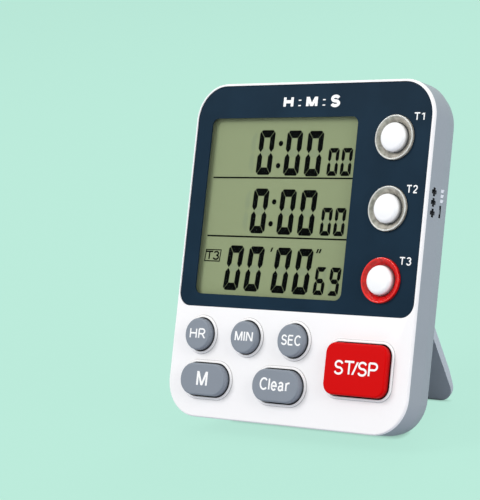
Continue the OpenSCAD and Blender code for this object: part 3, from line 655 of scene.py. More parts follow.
skin("rear_shell", 20, level_crease=3)
skin("front_cover", 25)
for node in ("memory_key", "clear_key", "start_stop_key", "hour_key", "minute_key", "second_key",
             "cell_upper", "cell_lower", "case_screws"):
    skin(node, 40)
skin("stand", 30, bevel_mm=0.25)
skin("battery_door", 30, bevel_mm=0.2)

# %% [markdown]
# ## Surfaces from a profile
# The light rings and the channel buttons are turned shapes. They could be spun with Blender's
# Screw modifier, but worked out as arrays they are exact and need no cleaning. A turned surface
# is a function of two parameters: the place along a profile and the angle about the axis. Sharp
# corners of a moulding never exist, so the profile's corners are first rounded with short arcs.

# %% Rounded profiles and turned surfaces


def rounded(path, radii, steps=6):
    """Closed or open 2-D path with each corner replaced by a quadratic arc.

    A corner P with neighbours A and B becomes (1-t)^2 S + 2t(1-t) P + t^2 E, where S and E lie
    on its two edges at the corner's radius from P."""
    path, radii = np.asarray(path, float), np.asarray(radii, float)
    before, after = np.roll(path, 1, 0) - path, np.roll(path, -1, 0) - path
    before /= np.linalg.norm(before, axis=1)[:, None]
    after /= np.linalg.norm(after, axis=1)[:, None]
    start, end = path + before * radii[:, None], path + after * radii[:, None]
    t = np.linspace(0, 1, steps)[None, :, None]
    arcs = (1 - t) ** 2 * start[:, None] + 2 * t * (1 - t) * path[:, None] + t**2 * end[:, None]
    return arcs.reshape(-1, 2)


def grid_faces(rows, columns, wrap_rows=False, wrap_columns=True):
    """Quads of a grid whose point (i, j) has index i * columns + j: each joins (i, j),
    (i, j + 1), (i + 1, j + 1) and (i + 1, j), and the last joins the first where asked."""
    r = np.arange(rows if wrap_rows else rows - 1)
    c = np.arange(columns if wrap_columns else columns - 1)
    i, j = (a.ravel() for a in np.meshgrid(r, c, indexing="ij"))
    i2, j2 = (i + 1) % rows, (j + 1) % columns
    return np.stack([i * columns + j, i * columns + j2, i2 * columns + j2, i2 * columns + j], 1)


def surface_object(name, points, faces):
    """Object of a surface: face points in millimetres and face indices, welded, facing out."""
    mesh = bpy.data.meshes.new(name)
    mesh.from_pydata(on_face(points.reshape(-1, 3)).tolist(), [], faces.tolist())
    weld(mesh, 0.01)
    return bpy.data.objects.new(name, mesh)


def turned(name, middle, profile, closed=True, segments=96):
    """Surface of revolution: point (r, z) of the profile at angle a goes to
    middle + (r cos a, r sin a, z)."""
    a = np.linspace(0, 2 * np.pi, segments, endpoint=False)
    r, z = profile[:, :1], profile[:, 1:]
    points = np.stack([middle[0] + r * np.cos(a), middle[1] + r * np.sin(a), z + 0 * a], -1)
    return surface_object(name, points, grid_faces(len(profile), segments, wrap_rows=closed))


print("a profile corner takes", len(rounded([(0, 0), (1, 0), (1, 1)], [0.1] * 3)) // 3, "points")

# %% [markdown]
# ## Light rings
# Each ring is a raised collar of clear plastic: a thin bright rim outside, a crest, and a slope
# that falls inwards to the button. Its skirt goes down through the cover to the lamp on the
# board. The CAD's collar is as high and as wide, but plainer: sharp corners, a sloping rim and a
# shallow inner slope. Bevelling it would only soften its corners. Turned again here, with round
# corners, an upright rim and a deeper slope, it differs by up to 0.6 mm and catches the line of
# light.

# %% Three light rings
CAP_RADIUS = 3.75


def ring_profile(node, cap_radius):
    """Cross-section of a ring in (radius, height): crest at the rim, slope down to the button."""
    low, high = face_box(node)
    outer, crest, foot = (high[0] - low[0]) / 2, high[2], low[2]
    inner, spigot, hollow = cap_radius + 0.15, outer - 0.4, cap_radius + 0.8
    shelf, roof = -0.7, -2.0  # underside of the collar, and top of the hollow over the lamp
    path = [(inner, -0.75), (inner + 0.2, -0.7), (outer - 0.38, crest - 0.06),
            (outer - 0.32, crest), (outer - 0.12, crest), (outer, crest - 0.12), (outer, shelf),
            (spigot, shelf), (spigot, foot), (hollow, foot), (hollow, roof), (inner, roof)]
    radii = [0.06, 0.06, 0.05, 0.04, 0.05, 0.05, 0.02, 0.02, 0.1, 0.1, 0.05, 0.05]
    return rounded(path, radii)


for number in (1, 2, 3):
    node = f"light_ring_{number}"
    ring = turned(node + "_collar", face_middle(node), ring_profile(node, CAP_RADIUS))
    shade(ring, 50)
    place_piece(ring, "case", FINISH[node], [node])
    print(node, "centre", face_middle(node)[:2].round(2), "faces", len(ring.data.polygons))

# %% [markdown]
# ## Beads round the keys
# A low bead stands round each key hole. Its top is flat and its outer side slopes down steeply,
# so that it draws a thin line round the key. The CAD's own bead is too low for that, so this one
# covers nearly all of it and stands 0.27 mm higher. It could be a bevelled curve, but a curve's
# section turns at tight corners. Here one cross-section is led round the outline of the hole, a
# rectangle with round corners, which for a round key is a circle.

# %% Six beads on the cover
ROUND_HOLE, LONG_HOLE, SQUARE_HOLE = (9.1, 9.1, 4.55), (15.9, 9.1, 4.55), (19.4, 13.8, 3.1)
HOLES = {"hour_key": ROUND_HOLE, "minute_key": ROUND_HOLE, "second_key": ROUND_HOLE,
         "memory_key": LONG_HOLE, "clear_key": LONG_HOLE, "start_stop_key": SQUARE_HOLE}
BEAD = rounded([(0.03, -0.3), (0.03, 0.27), (0.30, 0.27), (0.60, 0.0), (0.60, -0.3)],
               [0.05, 0.08, 0.06, 0.02, 0.05])  # steps out from the hole, and heights along Z


def led_round(middle, hole, profile, segments=96):
    """Section led round a hole given by width, height and corner radius.

    A corner's centre is at middle + (+-(width/2 - radius), +-(height/2 - radius)), with the
    signs of cos a and sin a, and a point (step, z) of the profile at angle a goes to
    centre + (radius + step) (cos a, sin a), at height z."""
    width, height, radius = hole
    a = np.linspace(0, 2 * np.pi, segments, endpoint=False)
    x = middle[0] + np.where(np.cos(a) > 0, 1, -1) * (width / 2 - radius)
    y = middle[1] + np.where(np.sin(a) > 0, 1, -1) * (height / 2 - radius)
    step, z = profile[:, :1], profile[:, 1:]
    reach = radius + step
    return np.stack([x + reach * np.cos(a), y + reach * np.sin(a), z + 0 * a], -1)


for node, hole in HOLES.items():
    points = led_round(face_middle(node), hole, BEAD)
    faces = grid_faces(*points.shape[:2], wrap_rows=True)
    bead = surface_object(node + "_bead", points, faces)
    shade(bead, 22)
    place_piece(bead, "case", white_abs)
print("beads:", len(HOLES), "middle of the first", face_middle("hour_key")[:2].round(2))

# %% [markdown]
# ## Channel buttons
# The white caps are low pills: a slightly crowned top, a generous round edge and straight sides
# that drop through the ring onto a flange. A squashed ball would be quicker, but its edge would
# be too soft, so the half section is worked out and turned. Its edge is a fuller round than the
# CAD's, up to 0.4 mm lower near the side.

# %% Three channel buttons
EDGE_RADIUS, CROWN = 1.1, 0.3
COLLAR, COLLAR_DEPTH, STEM_RADIUS = -2.05, 0.7, 1.5  # top of the flange, its depth, and the stem


def button_profile(node, cap_radius):
    """Half section of a cap from its middle to its stem: a crown that falls by CROWN t^2, where
    t runs from 0 to 1 at the edge, a quarter round of EDGE_RADIUS, the side and the flange."""
    low, high = face_box(node)
    top, foot, flange = high[2], low[2], (high[0] - low[0]) / 2
    t = np.linspace(0, 1, 10)
    crown_r = (cap_radius - EDGE_RADIUS) * t
    crown_z = top - CROWN * t**2
    turn = np.linspace(0, np.pi / 2, 9)[1:]
    edge_r = cap_radius - EDGE_RADIUS + EDGE_RADIUS * np.sin(turn)
    edge_z = crown_z[-1] - EDGE_RADIUS * (1 - np.cos(turn))
    under = COLLAR - COLLAR_DEPTH
    rest = np.array([(cap_radius, COLLAR), (flange, COLLAR), (flange, under),
                     (STEM_RADIUS, under), (STEM_RADIUS, foot), (0, foot)])
    return np.vstack([np.stack([crown_r, crown_z], 1), np.stack([edge_r, edge_z], 1), rest])


for number in (1, 2, 3):
    node = f"channel_button_{number}"
    cap = turned(node + "_cap", face_middle(node), button_profile(node, CAP_RADIUS),
                 closed=False)
    shade(cap, 40)
    place_piece(cap, BODY[node], FINISH[node], [node])
    print(node, "top at", face_box(node)[1][2].round(2), "mm")

# %% [markdown]
# ## Seven segments
# Each digit is drawn with up to seven flat segments. Between two segments runs a thin gap, mitred
# at the corners and pointed at the waist. A font could draw digits, but no font has these gaps.
# So a segment is a hexagon given by the digit's width, height and stroke. Moving each of its
# edges inwards by half the gap leaves the gap, and a shear makes the digit lean.

# %% Hexagons of a digit


def segments(width, height, stroke, bar, chamfer):
    """The seven hexagons a to g of a digit, as an array (7, 6, 2), lower left corner at 0, 0.

    a and d are the bars, stroke is the width of the uprights; the outer corners are cut by
    chamfer, and the uprights end in points at half height."""
    w, h, s, b, c, m = width, height, stroke, bar, chamfer, height / 2
    a = [(c, h), (c / 2, h - c / 2), (s, h - b), (w - s, h - b), (w - c / 2, h - c / 2), (w - c, h)]
    f = [(0, h - c), (0, m + b / 2), (s / 2, m), (s, m + b / 2), (s, h - b), (c / 2, h - c / 2)]
    g = [(s / 2, m), (s, m - b / 2), (w - s, m - b / 2), (w - s / 2, m), (w - s, m + b / 2),
         (s, m + b / 2)]
    a, f, g = (np.array(p, float) for p in (a, f, g))
    across, upright = np.array([-1, 1.0]), np.array([1, -1.0])
    b_seg = (f * across + (w, 0))[::-1]
    d_seg = (a * upright + (0, h))[::-1]
    e_seg = (f * upright + (0, h))[::-1]
    c_seg = (b_seg * upright + (0, h))[::-1]
    return np.stack([a, b_seg, c_seg, d_seg, e_seg, f, g])


print("an eight has", len(segments(5, 12, 1.2, 1.3, 0.75)), "segments")

# %% Gaps between the segments, and numerals
SEGMENT_GAP = 0.12
LIT = {"0": "abcdef", "1": "bc", "6": "acdefg", "9": "abcdfg", "8": "abcdefg"}


def inset(outlines, distance):
    """Convex outlines with every edge moved inwards: each corner solves n1.p = n1.q + d and
    n2.p = n2.q + d for the inward normals n1 and n2 of the edges that meet there."""
    edge = np.roll(outlines, -1, -2) - outlines
    normal = np.stack([-edge[..., 1], edge[..., 0]], -1)
    normal /= np.linalg.norm(normal, axis=-1, keepdims=True)
    offset = (normal * outlines).sum(-1) + distance
    pair = np.stack([np.roll(normal, 1, -2), normal], -2)
    values = np.stack([np.roll(offset, 1, -1), offset], -1)
    return np.linalg.solve(pair, values[..., None])[..., 0]


def digit(numeral, place, size, strokes, slant, chamfer):
    """Hexagons of one numeral: size is (width, height), place its lower left corner, strokes the
    widths of the uprights and the bars; a point at height y moves right by y tan(slant)."""
    shapes = inset(segments(*size, *strokes, chamfer), SEGMENT_GAP / 2)
    shapes = shapes[["abcdefg".index(s) for s in LIT[numeral]]]
    shapes[..., 0] += shapes[..., 1] * math.tan(math.radians(slant))
    return shapes + np.asarray(place, float)


print("a nought has", len(digit("0", (0, 0), (5, 12), (1.2, 1.3), 2, 0.75)), "segments")

# %% [markdown]
# ## The display's content
# Three rows, one for each channel: hours, minutes and seconds as large numerals and the small
# unit beside them. Rows one and two stand at zero, and the third has just been started. Segments
# that are off stay faintly visible on the real glass. One image could hold them all, but shapes
# stay sharp from any distance, so lit and unlit segments are two lists of hexagons.

# %% Rows of numerals
BIG, SMALL = (5.25, 12.1), (3.5, 7.4)  # width and height
BIG_STROKES, SMALL_STROKES = (1.68, 2.1), (1.1, 1.35)  # uprights and bars
HUNDREDS_STEP, HUNDREDS_CHAMFER = 6.2, 0.75  # an unlit 1 stands to the left of a short row
ROWS = [  # baseline of the big and the small numerals, slant in degrees, fall of the big ones
    # in mm per mm to the right, then (numeral, left edge) of the big and of the small ones
    (8.62, 8.45, 1.5, 0.02, [("0", -8.85), ("0", 0.35), ("0", 7.25)],
     [("0", 14.62), ("0", 18.9)]),
    (-7.03, -7.13, 2.0, 0.016, [("0", -9.0), ("0", 0.15), ("0", 7.0)],
     [("0", 14.32), ("0", 18.65)]),
    (-22.41, -22.51, 4.5, 0.01, [("0", -16.0), ("0", -9.02), ("0", 0.07), ("0", 7.1)],
     [("6", 14.02), ("9", 18.65)]),
]
lit, idle = [], []
for baseline, small_baseline, slant, fall, big, small in ROWS:
    first = big[0][1]
    for group, size, strokes in ((big, BIG, BIG_STROKES), (small, SMALL, SMALL_STROKES)):
        for numeral, left in group:
            place = (left, small_baseline if size is SMALL else baseline - fall * (left - first))
            chamfer = strokes[0] * 0.5
            lit.append(digit(numeral, place, size, strokes, slant, chamfer))
            idle.append(digit("8", place, size, strokes, slant, chamfer))
    if len(big) == 3:
        idle.append(digit("1", (first - HUNDREDS_STEP, baseline), BIG, BIG_STROKES, slant,
                          HUNDREDS_CHAMFER))
print("segments lit:", sum(map(len, lit)), "of", sum(map(len, idle)))

# %% [markdown]
# ## Thin layers
# What the display shows is printed in the glass, so it lies in one thin layer on the front plate,
# with the unlit segments in a layer of their own under the lit ones. A flat face would do for the
# eye, but a solid keeps a true front when it is exported. A layer of outlines becomes prisms: the
# same corners at two heights, a face on each end and quads between.

# %% Thin layers from outlines


def prisms(outlines, low, high):
    """Prisms of convex outlines (n, k, 2) between two heights: points (n * 2 * k, 3), first the
    low and then the high corners of each, and faces."""
    n, k = outlines.shape[:2]
    points = np.zeros((n, 2, k, 3))
    points[..., :2] = outlines[:, None]
    points[:, 0, :, 2], points[:, 1, :, 2] = low, high
    base = (np.arange(n) * 2 * k)[:, None]
    around, ahead = np.arange(k), (np.arange(k) + 1) % k
    top = (base + k + around).tolist()
    bottom = (base + around[::-1]).tolist()
    walls = np.stack([around, ahead, ahead + k, around + k], -1)[None] + base[..., None]
    return points.reshape(-1, 3), top + bottom + walls.reshape(-1, 4).tolist()


def joined(parts):
    """Points and faces of several parts as one mesh: each part's faces count on from the last."""
    points, faces, count = [], [], 0
    for part_points, part_faces in parts:
        points.append(part_points)
        faces += [[i + count for i in face] for face in part_faces]
        count += len(part_points)
    return np.vstack(points), faces


def layer(name, groups, low, high, middle):
    """One object of several groups of outlines, moved to middle on the face."""
    points, faces = joined(prisms(outlines + middle, low, high) for outlines in groups)
    mesh = bpy.data.meshes.new(name)
    mesh.from_pydata(on_face(points).tolist(), [], faces)
    return bpy.data.objects.new(name, mesh)


test_points, test_faces = prisms(np.zeros((2, 6, 2)), 0, 1)
print("two hexagons give", len(test_points), "points and", len(test_faces), "faces")

# %% [markdown]
# Between the numerals stand round dots, between the rows run two lines, the third row has minute
# and second marks, and a small box holds the number of the channel that counts. They are few and
# plain, so each is given by its corners in millimetres from the middle of the glass.

# %% Dots, lines and marks of the display
GLASS_XY = face_middle("lcd_glass")[:2]
GLASS_TOP = face_box("lcd_glass")[1][2]
SHOWN, GHOST = (0.02, 0.05), (0.002, 0.012)  # heights over the plate: lit layer, unlit layer
DOT_RADIUS = 0.72
DOTS = ((-1.23, 17.07), (-1.43, 11.14), (-1.48, 1.5), (-1.93, -4.33))
LINE_REACH, LINE_HALF = 23.2, 0.2
BOX_X, BOX_Y, BOX_EDGE, BOX_LEAN = (-23.38, -18.0), (-14.9, -11.6), 0.26, 0.3


def disc(x, y, r, corners=24):
    """Outline of a dot: corners points (x + r cos a, y + r sin a) on a circle."""
    a = np.linspace(0, 2 * np.pi, corners, endpoint=False)
    return np.stack([x + r * np.cos(a), y + r * np.sin(a)], -1)


def bar(x0, y0, x1, y1, lean=0.0):
    """Outline of an upright box, its upper edge shifted by lean."""
    return np.array([(x0, y0), (x1, y0), (x1 + lean, y1), (x0 + lean, y1)])


dots = [disc(x, y, DOT_RADIUS) for x, y in DOTS]
lines = [bar(-LINE_REACH, y - LINE_HALF, LINE_REACH, y + LINE_HALF) for y in (7.88, -7.94)]
marks = [bar(-1.1, -11.75, -0.62, -10.6, 0.4), bar(13.95, -11.65, 14.43, -10.55, 0.4),
         bar(14.8, -11.65, 15.28, -10.55, 0.4)]
box = [bar(BOX_X[0], BOX_Y[0], BOX_X[1], BOX_Y[0] + BOX_EDGE, 0.05),
       bar(BOX_X[0] + BOX_LEAN, BOX_Y[1] - BOX_EDGE, BOX_X[1] + BOX_LEAN, BOX_Y[1], 0.02),
       bar(BOX_X[0], BOX_Y[0], BOX_X[0] + BOX_EDGE, BOX_Y[1], BOX_LEAN),
       bar(BOX_X[1] - BOX_EDGE, BOX_Y[0], BOX_X[1], BOX_Y[1], BOX_LEAN)]
LAYERS = [
    ("display_segments", [np.concatenate(lit), np.stack(dots), np.stack(lines + marks)], SHOWN,
     lcd_dark),
    ("display_channel_box", [np.stack(box)], SHOWN, lcd_dark),
    ("display_unlit_segments", [np.concatenate(idle)], GHOST, lcd_idle),
]
for name, groups, (low, high), material in LAYERS:
    piece = layer(name, groups, GLASS_TOP + low, GLASS_TOP + high, GLASS_XY)
    place_piece(piece, "case", material)
print("display rows drawn on the plate at", GLASS_TOP.round(2), "mm")

# %% [markdown]
# ## Printing ink
# The keys and the panel carry printed marks that say what each one does. The ink is opaque and
# satin, with the faint pattern of the printing mesh. A mask in the key's own colour could paint
# the letters without any mesh, but a thin layer of ink keeps its sharp edge from any distance.

# %% White and pale inks


def ink(name, code):
    """Screen-printing ink: even colour, satin, darker by up to 4 per cent over a mesh of 0.3 mm."""
    made, tree = blank_material(name)
    place = add(tree, "TexCoord").outputs["Object"]
    grain = add(tree, "TexNoise", {"Vector": place, "Scale": scale(0.3), "Detail": 1.0})
    ramp = add(tree, "ValToRGB", {"Fac": grain.outputs["Fac"]})
    low, high = ramp.color_ramp.elements
    low.color, high.color = toned(code, 0.96), colour(code)
    surface = add(tree, "BsdfPrincipled", {"Base Color": ramp.outputs[0], "Roughness": 0.5})
    finish_with(tree, surface.outputs[0])
    return made


white_ink = ink("ink_white_screen_print", "#fafafa")
pale_ink = ink("ink_pale_grey_pad_print", "#e2e5ee")
print("inks:", white_ink.name, pale_ink.name)

# %% [markdown]
# ## Strokes of the letters
# The marks are in a plain sans serif of one stroke width. Blender's Text could give them, but a
# typeface has its own shapes and many corners. Here each letter is a few centre lines in a box
# one unit high, as a draughtsman letters by hand, with round parts taken from an ellipse.

# %% Centre lines of the letters


def curve(x, y, rx, ry, start, end, steps=12):
    """Points on an ellipse: (x + rx cos a, y + ry sin a) from start to end degrees."""
    a = np.radians(np.linspace(start, end, steps))
    return np.stack([x + rx * np.cos(a), y + ry * np.sin(a)], 1).tolist()


BOWL = [(0, 1), (0.36, 1), *curve(0.36, 0.74, 0.26, 0.26, 80, -80), (0.36, 0.48), (0, 0.48)]
GLYPHS = {  # letter: (width, strokes), centre lines for a capital 1 high
    "H": (0.66, [[(0, 0), (0, 1)], [(0.66, 0), (0.66, 1)], [(0, 0.52), (0.66, 0.52)]]),
    "R": (0.66, [[(0, 0), (0, 1)], BOWL, [(0.34, 0.48), (0.66, 0)]]),
    "P": (0.6, [[(0, 0), (0, 1)], BOWL]),
    "M": (0.78, [[(0, 0), (0, 1)], [(0.78, 0), (0.78, 1)], [(0.03, 1), (0.39, 0)],
                 [(0.39, 0), (0.75, 1)]]),
    "N": (0.66, [[(0, 0), (0, 1)], [(0.66, 0), (0.66, 1)], [(0.03, 1), (0.63, 0)]]),
    "I": (0.0, [[(0, 0), (0, 1)]]),
    "T": (0.68, [[(-0.08, 1), (0.68, 1)], [(0.3, 0), (0.3, 1)]]),
    "E": (0.6, [[(0, 0), (0, 1)], [(0, 1), (0.6, 1)], [(0, 0.53), (0.56, 0.53)],
                [(0, 0), (0.6, 0)]]),
    "S": (0.6, [curve(0.3, 0.75, 0.28, 0.25, 15, 265, 16)
                + curve(0.3, 0.25, 0.3, 0.25, 80, -165, 16)]),
    "C": (0.68, [curve(0.39, 0.5, 0.39, 0.5, 42, 318, 24)]),
    "l": (0.0, [[(0, 0), (0, 1)]]),
    "e": (0.5, [[(0.02, 0.36), (0.5, 0.36)]
                + curve(0.25, 0.36, 0.25, 0.36, 10, 318, 20)]),
    "a": (0.52, [curve(0.22, 0.5, 0.2, 0.22, 160, 20, 8) + [(0.42, 0.42), (0.42, 0.1), (0.5, 0)],
                [(0.42, 0.42), (0.2, 0.38)] + curve(0.18, 0.19, 0.18, 0.19, 90, 290, 12)
                + [(0.42, 0.12)]]),
    "r": (0.34, [[(0, 0), (0, 0.72)], [(0, 0.45)] + curve(0.28, 0.46, 0.28, 0.26, 165, 75, 7)]),
    "/": (-0.09, [[(-0.32, 0), (0.05, 1)]]),
    ":": (0.0, [[(0, 0.02), (0, 0.14)], [(0, 0.6), (0, 0.72)]]),
    "1": (0.26, [[(0.26, 0), (0.26, 1)], [(0, 0.78), (0.26, 1)]]),
    "2": (0.56, [curve(0.28, 0.72, 0.27, 0.28, 165, -35, 16) + [(0, 0)], [(0, 0), (0.56, 0)]]),
    "3": (0.56, [curve(0.27, 0.76, 0.25, 0.24, 160, -80, 16),
                 curve(0.27, 0.27, 0.29, 0.27, 85, -165, 16)]),
    " ": (0.05, []),
}
print("letters:", "".join(GLYPHS))

# %% [markdown]
# A centre line becomes a stroke when it is given the pen's width and a thickness, and a word is
# its letters' strokes side by side, fitted to the width and height of the print. Where strokes
# cross, tops at one height would flicker, so each lies 0.003 mm above the one before.

# %% Words as thin layers
SLANTED = 0.3  # least rise of a straight stroke, as a part of its length, whose ends are level
INK_SUNK, INK_RAISED, INK_STEP = 0.01, 0.02, 0.003  # bottom below the face, first top, next tops


def strip(path, width, low, high):
    """Bar along a path: each point steps aside by half the width along the mitre, which is the
    sum of the two edge normals divided by 1 + their dot product. Ends of straight slanted
    strokes are cut level, as type is."""
    path = np.asarray(path, float)
    along = np.diff(path, axis=0)
    along /= np.linalg.norm(along, axis=1)[:, None]
    normal = np.stack([-along[:, 1], along[:, 0]], 1)
    first, last = np.vstack([normal[:1], normal]), np.vstack([normal, normal[-1:]])
    aside = (first + last) / (1 + (first * last).sum(1, keepdims=True))
    if len(path) == 2 and abs(along[0, 1]) > SLANTED:
        aside = np.array([[-1.0, 0.0]] * 2) / along[0, 1]
    left, right = path + aside * width / 2, path - aside * width / 2
    rows = [np.column_stack([side, np.full(len(path), z)])
            for side, z in ((left, low), (right, low), (right, high), (left, high))]
    n = len(path)
    ends = [[3, 2, 1, 0], [4 * n - 4, 4 * n - 3, 4 * n - 2, 4 * n - 1]]
    return np.stack(rows, 1).reshape(-1, 3), grid_faces(n, 4).tolist() + ends


def letters(name, words, middle, size, height, stroke, body, material, gap=0.32, tilt=0.0):
    """Words as a thin layer, fitted to size = (width, height) mm about middle, on a body.

    stroke is the line's width in mm, gap the room between letters as a part of their height;
    tilt shears them: x + y tan(tilt), in degrees."""
    pen, paths = 0.0, []
    for sign in words:
        width, strokes = GLYPHS[sign]
        paths += [np.asarray(p, float) + (pen, 0) for p in strokes]
        pen += width + gap
    reach = np.array([pen - gap, 1.0])
    fit = (np.asarray(size, float) - stroke) / reach
    parts = []
    for number, path in enumerate(paths):
        top = height + INK_RAISED + INK_STEP * number
        points, faces = strip((path - reach / 2) * fit, stroke, height - INK_SUNK, top)
        points[:, 0] += points[:, 1] * math.tan(math.radians(tilt))
        parts.append((points + (middle[0], middle[1], 0), faces))
    points, faces = joined(parts)
    mesh = bpy.data.meshes.new(name)
    mesh.from_pydata(on_face(points).tolist(), [], faces)
    weld(mesh, 0.01)
    return place_piece(bpy.data.objects.new(name, mesh), body, material)


print("an upright stroke has", len(strip([(0, 0), (0, 1)], 0.1, 0, 0.02)[0]), "corners")

# %% [markdown]
# ## The legends
# Hours, minutes, seconds, memory, clear and start/stop stand on the keys, and move with them.
# The panel names the three channels, and its heading gives the order of the numerals: hours,
# minutes, seconds. Each print could be placed by eye; a table of middles and sizes in face
# millimetres is easier to correct.

# %% Prints on the keys, the panel and the display
KEY_TOP = face_box("hour_key")[1][2]
PANEL_TOP = face_box("face_panel")[1][2]
PRINTS = [  # node that carries it, words, middle on the face, width and height, stroke, gap
    ("hour_key", "HR", (-28.4, 22.0), (5.4, 2.85), 0.42, 0.3),
    ("minute_key", "MIN", (-12.6, 22.1), (6.0, 2.8), 0.42, 0.3),
    ("second_key", "SEC", (3.0, 21.95), (6.3, 2.75), 0.42, 0.3),
    ("memory_key", "M", (-25.25, 10.2), (3.7, 4.3), 0.62, 0.3),
    ("clear_key", "Clear", (-0.77, 10.3), (9.9, 3.3), 0.48, 0.28),
    ("start_stop_key", "ST/SP", (24.15, 16.05), (13.3, 3.7), 0.52, 0.24),
]
CHANNEL_MARKS = [  # number, middle on the face, width and height
    (1, (34.15, 80.1), (3.1, 2.1)), (2, (34.05, 61.75), (3.3, 2.1)),
    (3, (34.15, 43.65), (3.5, 2.1)),
]
MARK_STROKE, HEADING_STROKE, DISPLAY_STROKE = 0.33, 0.85, 0.4
for node, words, middle, size, stroke, gap in PRINTS:
    letters(node + "_legend", words, middle, size, KEY_TOP, stroke, BODY[node],
            white_ink, gap)
for number, middle, size in CHANNEL_MARKS:
    letters(f"channel_mark_{number}", f"T{number}", middle, size, PANEL_TOP, MARK_STROKE, "case",
            white_ink)
letters("panel_heading", "H : M : S", (-0.2, 84.5), (18.5, 3.3), PANEL_TOP, HEADING_STROKE,
        "case", white_ink)
letters("display_channel_mark", "T3", GLASS_XY + (-20.6, -13.25), (4.5, 2.45),
        GLASS_TOP + SHOWN[0] + INK_SUNK, DISPLAY_STROKE, "case", lcd_dark,
        gap=0.12, tilt=3.0)
print("legends:", len(PRINTS) + len(CHANNEL_MARKS) + 2)

# %% [markdown]
# ## Marks beside the slide switch
# Three short bars on the right wall show the three places of the switch. Their ends are slanted,
# and they are pad printed in a paler grey than the wall, above the slot. They could be painted by
# the wall's own material; as thin prisms they stay sharp.

# %% Three marks on the right wall
WALL_X, MARK_DEPTHS = 38.56, (6.05, 7.6)  # place of the wall, and ends back from Z = 0
MARK_HALF, MARK_LEAN, MARK_INK = 0.42, 0.45, 0.02  # half height, slant and half thickness
outlines = [bar(MARK_DEPTHS[0], y - MARK_HALF, MARK_DEPTHS[1], y + MARK_HALF, MARK_LEAN)
            for y in (59.7, 60.97, 62.24)]
mark_points, mark_faces = prisms(np.stack(outlines), WALL_X - MARK_INK, WALL_X + MARK_INK)
marks_mesh = bpy.data.meshes.new("switch_marks")
marks_mesh.from_pydata(on_face(mark_points[:, [2, 1, 0]] * (1, 1, -1)).tolist(), [], mark_faces)
weld(marks_mesh, 0.01)
place_piece(bpy.data.objects.new("switch_marks", marks_mesh), "case",
            pale_ink)
print("switch marks at", WALL_X, "mm")

# %% [markdown]
# ## Floor and world
# The timer stands on a wide seamless backdrop of pale mint. Lit alone, such a floor would throw
# mint light on the timer. So it takes its colour from what the camera and mirror-like rays see,
# and all other rays meet a plain pale grey. It keeps the soft shadow of the lamps, and where the
# timer nearly touches it, within 1.6 mm, its glow darkens a little more: a painted contact shadow.

# %% Finish that keeps its shadow
MIRROR_SHARE = 0.8
# Within this reach of the timer the floor's glow darkens, down to this share of its strength: a
# painted contact shadow.
CONTACT_SHADOW_REACH, CONTACT_SHADOW_DARKEST = 1.6 * MM, 0.55


def eye_rays(tree):
    """1 for rays from the camera and through glass, MIRROR_SHARE for reflections, else 0."""
    path = add(tree, "LightPath")
    glossy = add(tree, "Math", {0: path.outputs["Is Glossy Ray"], 1: MIRROR_SHARE},
                 operation="MULTIPLY")
    straight = add(tree, "Math", {0: path.outputs["Is Camera Ray"],
                                  1: path.outputs["Is Transmission Ray"]}, operation="MAXIMUM")
    both = add(tree, "Math", {0: glossy.outputs[0], 1: straight.outputs[0]}, operation="MAXIMUM")
    return both.outputs[0]


def floor_material(name, shown, lit, share):
    """Shown colour: share of it glows, the rest is lit, so that shadows stay but are soft; near the
    timer the glow darkens as a painted contact shadow.
    """
    made, tree = blank_material(name)
    place = add(tree, "TexCoord").outputs["Object"]
    fine = add(tree, "TexNoise", {"Vector": place, "Scale": scale(2.0), "Detail": 2.0})
    bump = add(tree, "Bump", {"Height": fine.outputs["Fac"], "Distance": 4 * UM})
    paper = add(tree, "BsdfDiffuse", {"Color": colour(shown), "Normal": bump.outputs[0]})
    # Painted contact shadow: the glow darkens where the timer is near.
    near = add(tree, "AmbientOcclusion", {"Distance": CONTACT_SHADOW_REACH}, samples=8)
    painted_contact_shadow = add(tree, "MapRange", {"Value": near.outputs["AO"], "From Min": 0.2, "From Max": 0.9,
                                   "To Min": CONTACT_SHADOW_DARKEST})
    glow = add(tree, "Emission", {"Color": colour(shown), "Strength": painted_contact_shadow.outputs[0]})
    seen = add(tree, "MixShader", {"Fac": share, 1: paper.outputs[0], 2: glow.outputs[0]})
    plain = add(tree, "BsdfDiffuse", {"Color": colour(lit)})
    both = add(tree, "MixShader", {"Fac": eye_rays(tree), 1: plain.outputs[0],
                                   2: seen.outputs[0]})
    finish_with(tree, both.outputs[0])
    return made


MINT, PLAIN, GLOW_SHARE = "#bbeada", "#b1b6c4", 0.93
backdrop = floor_material("paper_backdrop_mint", MINT, PLAIN, GLOW_SHARE)
print("backdrop finish:", backdrop.name)

# %% [markdown]
# The backdrop itself is a flat disc, so wide that its edge stays out of sight. A plane would do
# as well; the disc is turned like the rings and then laid at height zero, under the case.

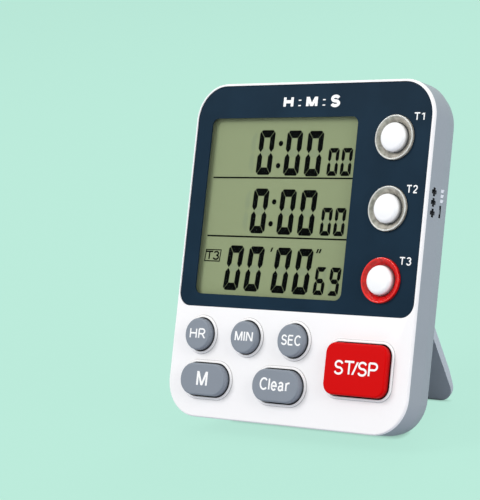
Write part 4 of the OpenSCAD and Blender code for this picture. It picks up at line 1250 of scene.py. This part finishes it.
# %% Backdrop floor
FLOOR_RADII = (0.0, 400.0, 3000.0)
floor = turned("floor", (0, 0), np.array([(r, 0.0) for r in FLOOR_RADII]), closed=False)
across = (corners_of(floor.data) - ZERO) @ AXES.T  # it was turned about the face's axis
across[:, 2] = 0
floor.data.vertices.foreach_set("co", across.astype(np.float32).ravel())
floor.data.update()
bpy.context.scene.collection.objects.link(floor)
dress(floor, backdrop)
print("floor radius", FLOOR_RADII[-1] / 1000, "m")

# %% [markdown]
# The world stands for the rest of the studio. A picture of a room could light the timer, but its
# windows would show in every gloss. So it is a soft, even white for the light and the backdrop's
# mint for the eye.

# %% World
SKY = 0.6
world = bpy.data.worlds.new("studio")
world.use_nodes = True
world.node_tree.nodes.clear()
seen = add(world.node_tree, "Background", {"Color": colour(MINT), "Strength": 1.0})
light = add(world.node_tree, "Background", {"Color": colour("#fffefb"), "Strength": SKY})
mixed = add(world.node_tree, "MixShader", {"Fac": eye_rays(world.node_tree),
                                           1: light.outputs[0], 2: seen.outputs[0]})
add(world.node_tree, "OutputWorld", {"Surface": mixed.outputs[0]})
bpy.context.scene.world = world
print("world at", SKY)

# %% [markdown]
# ## Lamps
# Three area lamps: the key from the upper left and front, large and near enough for soft edges,
# a weaker fill low on the right, which lights the side wall, and one behind that draws the top
# edges. A single dome of light would be simpler, but it would leave the keys flat.

# %% Area lamps


def lamp(name, place, aim, size, watts):
    """Square area lamp of a size in metres at place, pointed at aim."""
    data = bpy.data.lights.new(name, "AREA")
    data.energy, data.size = watts, size
    made = bpy.data.objects.new(name, data)
    made.matrix_world = look(place, aim, 0).T.tolist()
    bpy.context.scene.collection.objects.link(made)
    return made


TARGET = (0.0, 0.0, 0.045)
lamp("key", (-0.75, -0.85, 1.05), TARGET, 0.7, 12.8)
lamp("fill", (1.0, -0.12, 0.42), TARGET, 0.6, 4.8)
lamp("rim", (-0.2, 0.9, 0.9), TARGET, 0.6, 4.5)

scene = bpy.context.scene
scene.view_settings.view_transform = "Standard"

# %% [markdown]
# ## Last update
# The view layer is brought up to date, so that every placement takes effect.

# %% Update the view layer
bpy.context.view_layer.update()
